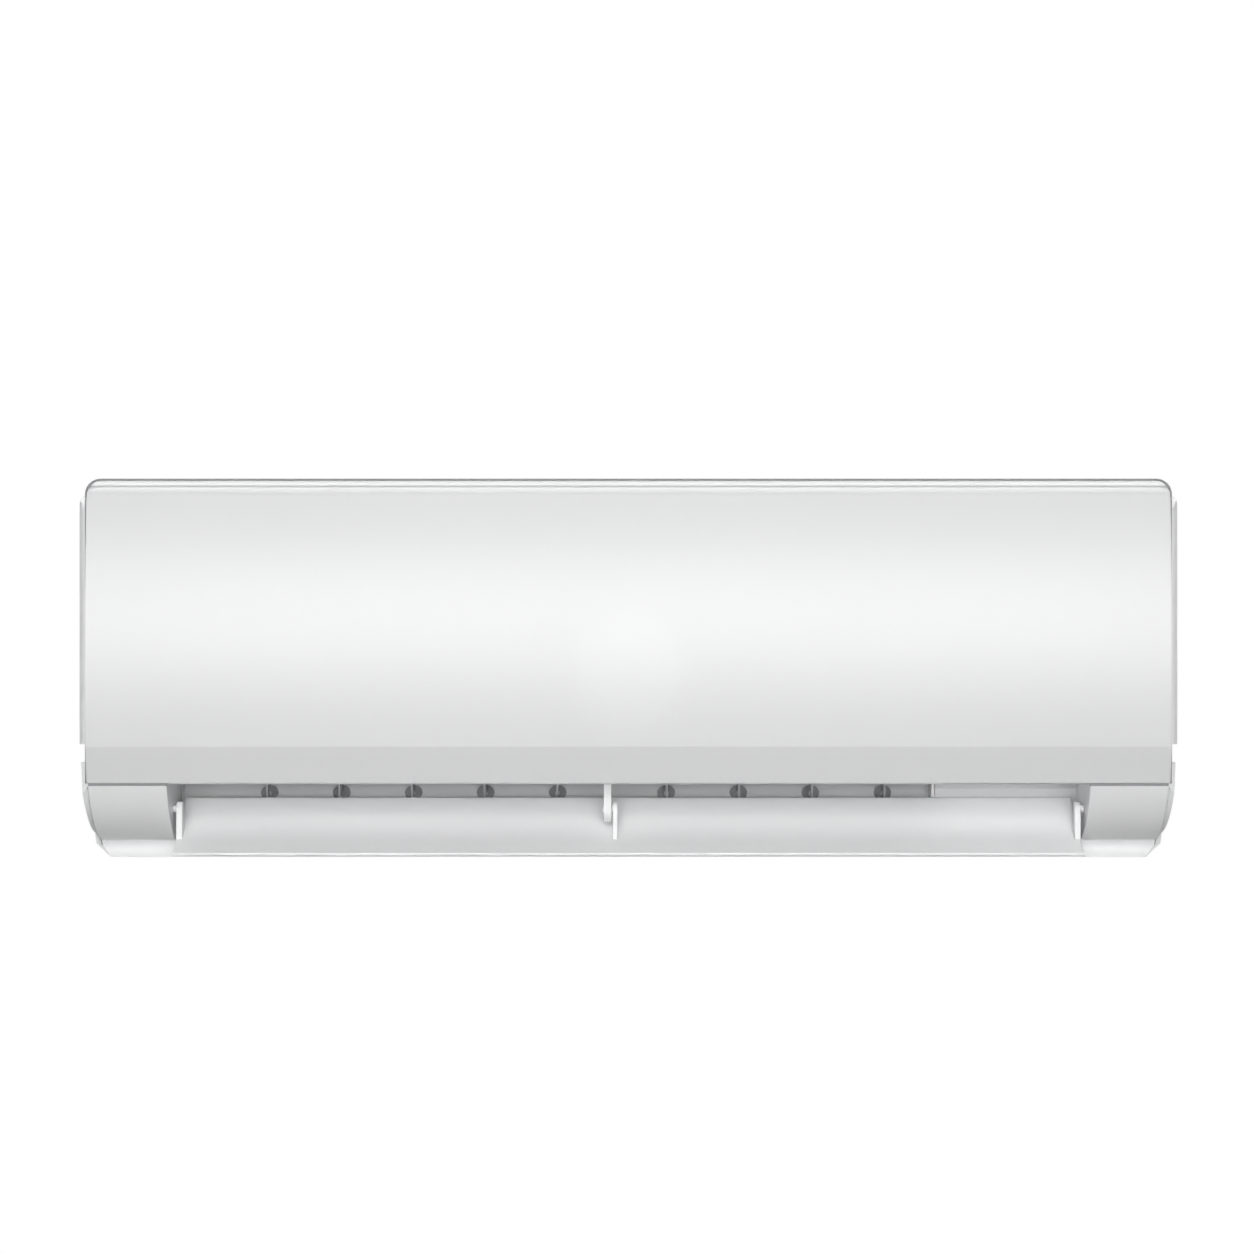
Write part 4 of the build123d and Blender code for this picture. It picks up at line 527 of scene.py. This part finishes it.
def top_grille(material):
    """Intake grille with its fine slats, in place of the coarse one."""
    lo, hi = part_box("intake_grille")
    form = Form()
    border = GRILLE_BORDER
    form.box((lo[0], lo[1], lo[2]), (hi[0], lo[1] + border, hi[2]))
    form.box((lo[0], hi[1] - border, lo[2]), (hi[0], hi[1], hi[2]))
    form.box((lo[0], lo[1] + border, lo[2]), (lo[0] + border, hi[1] - border, hi[2]))
    form.box((hi[0] - border, lo[1] + border, lo[2]), (hi[0], hi[1] - border, hi[2]))
    wide = hi[0] - lo[0] - 2 * border
    deep = hi[1] - lo[1] - 2 * border
    slats = round(deep / SLAT_PITCH)
    for n in range(1, slats):
        y = lo[1] + border + n * deep / slats
        form.box((lo[0] + border - GRILLE_BITE, y - SLAT_THICK / 2, lo[2] + SLAT_UP),
                 (hi[0] - border + GRILLE_BITE, y + SLAT_THICK / 2, hi[2] - SLAT_DOWN))
    bars = round(wide / BAR_PITCH)
    for n in range(1, bars):
        x = lo[0] + border + n * wide / bars
        form.box((x - BAR_THICK / 2, lo[1] + border - GRILLE_BITE, lo[2]),
                 (x + BAR_THICK / 2, hi[1] - border + GRILLE_BITE, hi[2] - BAR_DOWN))
    piece = form.piece("top_grille", material, "unit", "satin_white")
    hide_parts("intake_grille")


def filter_line(lo, hi, depth):
    """Side view of a filter's sheet at a depth under its outer face: up the front, round and back."""
    radius = FILTER_ROUND - depth
    y, z = lo[1] + depth, hi[2] - depth
    line = [(y, lo[2]), (y, hi[2] - FILTER_ROUND)]
    for n in range(1, FILTER_ROUND_STEPS + 1):
        angle = n / FILTER_ROUND_STEPS * math.pi / 2
        line.append((y + radius * (1 - math.cos(angle)), hi[2] - FILTER_ROUND + radius * math.sin(angle)))
    line.append((hi[1], z))
    return line


def filter_frame(side, material):
    """Moulded frame and ribs of a filter, a little proud of its net."""
    lo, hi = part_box("filter_" + side)
    outer = filter_line(lo, hi, -FRAME_PROUD)
    inner = filter_line(lo, hi, FILTER_THICK + FRAME_PROUD)
    form = Form()
    step = (hi[0] - lo[0] - FRAME_WIDE) / FILTER_RIBS
    for n in range(FILTER_RIBS + 1):
        x0 = lo[0] + n * step
        x1 = x0 + (FRAME_WIDE if n in (0, FILTER_RIBS) else RIB_WIDE)
        form.loft([[(x0, *a), (x1, *a), (x1, *b), (x0, *b)] for a, b in zip(outer, inner)])
    y0, y1 = lo[1] - FRAME_PROUD, lo[1] + FILTER_THICK + FRAME_PROUD
    form.box((lo[0], y0, lo[2]), (hi[0], y1, lo[2] + FRAME_WIDE))
    for up in FRONT_RIBS_UP:
        form.box((lo[0], y0, lo[2] + up), (hi[0], y1, lo[2] + up + RIB_WIDE))
    z0, z1 = hi[2] - FILTER_THICK - FRAME_PROUD, hi[2] + FRAME_PROUD
    for y, deep in ((hi[1] - FRAME_WIDE, FRAME_WIDE), (hi[1] - TOP_RIB_IN, RIB_WIDE)):
        form.box((lo[0], y, z0), (hi[0], y + deep, z1))
    form.piece("filter_frame_" + side, material, "filter_" + side, "filter_net")


def vane_highlight_pegs(material):
    """Small pale peg at the foot of each vane, just in front of its pivot, a painted highlight for the foot's lit
    front edge.
    """
    across = Vector((1, 0, 0))
    turn = 2 * math.pi / PEG_SIDES
    for joint in frame["joints"]:
        if not joint["child"].startswith("vane_"):
            continue
        base = Vector(joint["pos_m"])
        up = Vector(joint["axis"]).normalized()
        ahead = up.cross(across).normalized()
        if ahead.y > 0:
            ahead = -ahead
        foot = base + ahead * PEG_AHEAD
        loops = []
        for height, radius in ((PEG_FROM, PEG_R), (PEG_TO - PEG_R / 2, PEG_R), (PEG_TO, PEG_R * PEG_TIP)):
            middle = foot + up * height
            loops.append([
                tuple(middle + across * radius * math.cos(k * turn) + ahead * radius * math.sin(k * turn))
                for k in range(PEG_SIDES)
            ])
        form = Form()
        form.loft(loops)
        form.piece(joint["child"] + "_peg", material, joint["child"], "satin_white")


def rim_line(half, low, high):
    """The panel's rim from foot to foot over both top corners, as (x, z, outward x, outward z)."""
    line = [(-half, low, -1.0, 0.0)]
    for side in (-1.0, 1.0):
        for n in range(CORNER_STEPS + 1):
            share = n / CORNER_STEPS if side < 0 else 1 - n / CORNER_STEPS
            angle = share * math.pi / 2
            across, up = side * math.cos(angle), math.sin(angle)
            x = side * (half - PANEL_CORNER) + PANEL_CORNER * across
            z = high - PANEL_CORNER * (1 - up)
            line.append((x, z, across, up))
    line.append((half, low, 1.0, 0.0))
    return line


def panel_painted_shade_rim(material):
    """Thin grey strip round the panel's rim, painted shade that shows from the front as a dark line."""
    lo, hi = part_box("front_panel")
    y0, y1 = lo[1] + RIM_SHADE_FROM, lo[1] + RIM_SHADE_TO
    loops = []
    for x, z, across, up in rim_line(hi[0] + RIM_SHADE_PROUD, lo[2], hi[2]):
        inner = (x - RIM_SHADE_WIDE * across, z - RIM_SHADE_WIDE * up)
        loops.append([(x, y0, z), (x, y1, z), (inner[0], y1, inner[1]), (inner[0], y0, inner[1])])
    form = Form()
    form.loft(loops)
    form.piece("panel_painted_shade_rim", material, "panel", "grey_plastic")


def cover_painted_shade(side, material):
    """Grey strip down a corner cover's outer edge and through the gap above it, painted shade in the groove and
    the gap.
    """
    name = "corner_cover_" + side
    lo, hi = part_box(name)
    sign = 1 if side == "right" else -1
    outer = max(sign * lo[0], sign * hi[0])
    rim = {}        # foremost point of the outer edge, by height
    for vertex in nodes[name].data.vertices:
        x, y, z = vertex.co
        level = round(z, 4)
        if sign * x > outer - EDGE_SHADE_REACH and z > lo[2] + EDGE_SHADE_FOOT:
            rim[level] = min(rim.get(level, (y, x)), (y, x))
    loops = []
    for level in sorted(rim):
        y, x = rim[level]
        y0, y1 = y + EDGE_SHADE_BACK, y + EDGE_SHADE_DEEP
        x1 = x + sign * EDGE_SHADE_WIDE
        loops.append([(x, y0, level), (x1, y0, level), (x1, y1, level), (x, y1, level)])
    form = Form()
    form.loft(loops)
    panel_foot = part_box("front_panel")[0][2]
    form.box((lo[0], lo[1] + GAP_SHADE_BACK, hi[2] - GAP_SHADE_BITE),
             (hi[0], lo[1] + GAP_SHADE_BACK + GAP_SHADE_DEEP, panel_foot - GAP_SHADE_CLEAR))
    form.piece("cover_painted_shade_" + side, material, "unit", "grey_plastic")


# ---------------------------------------------------------------- studio
def seen_rays(tree):
    """1 for rays that see the background straight, in a mirror or through glass."""
    path = tree.nodes.new("ShaderNodeLightPath")
    seen = path.outputs["Is Camera Ray"]
    for name in ("Is Glossy Ray", "Is Transmission Ray"):
        larger = tree.nodes.new("ShaderNodeMath")
        larger.operation = "MAXIMUM"
        tree.links.new(seen, larger.inputs[0])
        tree.links.new(path.outputs[name], larger.inputs[1])
        seen = larger.outputs[0]
    return seen


def make_world():
    """Weak even light on the object, white background."""
    world = bpy.data.worlds.new("studio")
    bpy.context.scene.world = world
    world.use_nodes = True
    tree = world.node_tree
    tree.nodes.clear()
    output = tree.nodes.new("ShaderNodeOutputWorld")
    lit = tree.nodes.new("ShaderNodeBackground")
    lit.inputs["Color"].default_value = (1, 1, 1, 1)
    lit.inputs["Strength"].default_value = WORLD_LEVEL
    seen = tree.nodes.new("ShaderNodeBackground")
    seen.inputs["Color"].default_value = (1, 1, 1, 1)
    seen.inputs["Strength"].default_value = 1.0
    mix = tree.nodes.new("ShaderNodeMixShader")
    tree.links.new(seen_rays(tree), mix.inputs["Fac"])
    tree.links.new(lit.outputs[0], mix.inputs[1])
    tree.links.new(seen.outputs[0], mix.inputs[2])
    tree.links.new(mix.outputs[0], output.inputs["Surface"])


def area_lamp(name, at, size, power):
    """A rectangular lamp aimed at the unit."""
    data = bpy.data.lights.new(name, "AREA")
    data.shape = "RECTANGLE"
    data.size, data.size_y = size
    data.energy = power
    lamp = bpy.data.objects.new(name, data)
    lamp.location = at
    lamp.rotation_euler = (Vector(UNIT_MIDDLE) - Vector(at)).to_track_quat("-Z", "Y").to_euler()
    bpy.context.scene.collection.objects.link(lamp)
    return lamp


def make_floor():
    """Pale floor far below the hung unit."""
    bpy.ops.mesh.primitive_circle_add(
        vertices=FLOOR_SIDES, radius=FLOOR_RADIUS, fill_type="NGON", location=(0, 0, FLOOR_Z))
    floor = bpy.context.object
    floor.name = "floor"
    material, tree, shader = new_material("floor_paint")
    tint = between(tree, noise(tree, 3.0), (0.84, 0.84, 0.84), (0.86, 0.86, 0.86))
    tree.links.new(tint, shader.inputs["Base Color"])
    shader.inputs["Roughness"].default_value = 0.9
    glow = tree.nodes.new("ShaderNodeMath")
    glow.operation = "MULTIPLY"
    glow.inputs[1].default_value = FLOOR_GLOW
    tree.links.new(seen_rays(tree), glow.inputs[0])
    shader.inputs["Emission Color"].default_value = (1, 1, 1, 1)
    tree.links.new(glow.outputs[0], shader.inputs["Emission Strength"])
    floor.data.materials.append(material)


def make_camera():
    """The photograph's viewpoint."""
    data = bpy.data.cameras.new("camera")
    data.sensor_width = SENSOR_WIDE
    data.lens = SENSOR_WIDE / 2 / math.tan(HALF_ANGLE)
    data.clip_end = 50.0
    camera = bpy.data.objects.new("camera", data)
    camera.location = CAMERA_AT
    camera.rotation_euler = (math.pi / 2, 0, 0)
    bpy.context.scene.collection.objects.link(camera)
    bpy.context.scene.camera = camera


def make_studio():
    """Everything that isn't the part: background, lamps, floor and camera."""
    bpy.context.scene.view_settings.view_transform = "Standard"
    make_world()
    for name, values in SOFT_LAMPS.items():
        lamp = area_lamp(name, *values)
        lamp.visible_glossy = False
        lamp.data.spread = LAMP_SPREAD
    for name, values in MIRROR_LAMPS.items():
        area_lamp(name, *values).visible_diffuse = False
    make_floor()
    make_camera()


# ---------------------------------------------------------------- the dressed part in its studio
finishes = make_materials()
dress_nodes(finishes)
fan_rotor(finishes["dark_plastic"])
top_grille(finishes["satin_white"])
for side in ("left", "right"):
    filter_frame(side, finishes["black_plastic"])
    cover_painted_shade(side, finishes["painted_shade_grey"])
vane_highlight_pegs(finishes["painted_light_satin"])
panel_painted_shade_rim(finishes["painted_shade_grey"])
make_studio()
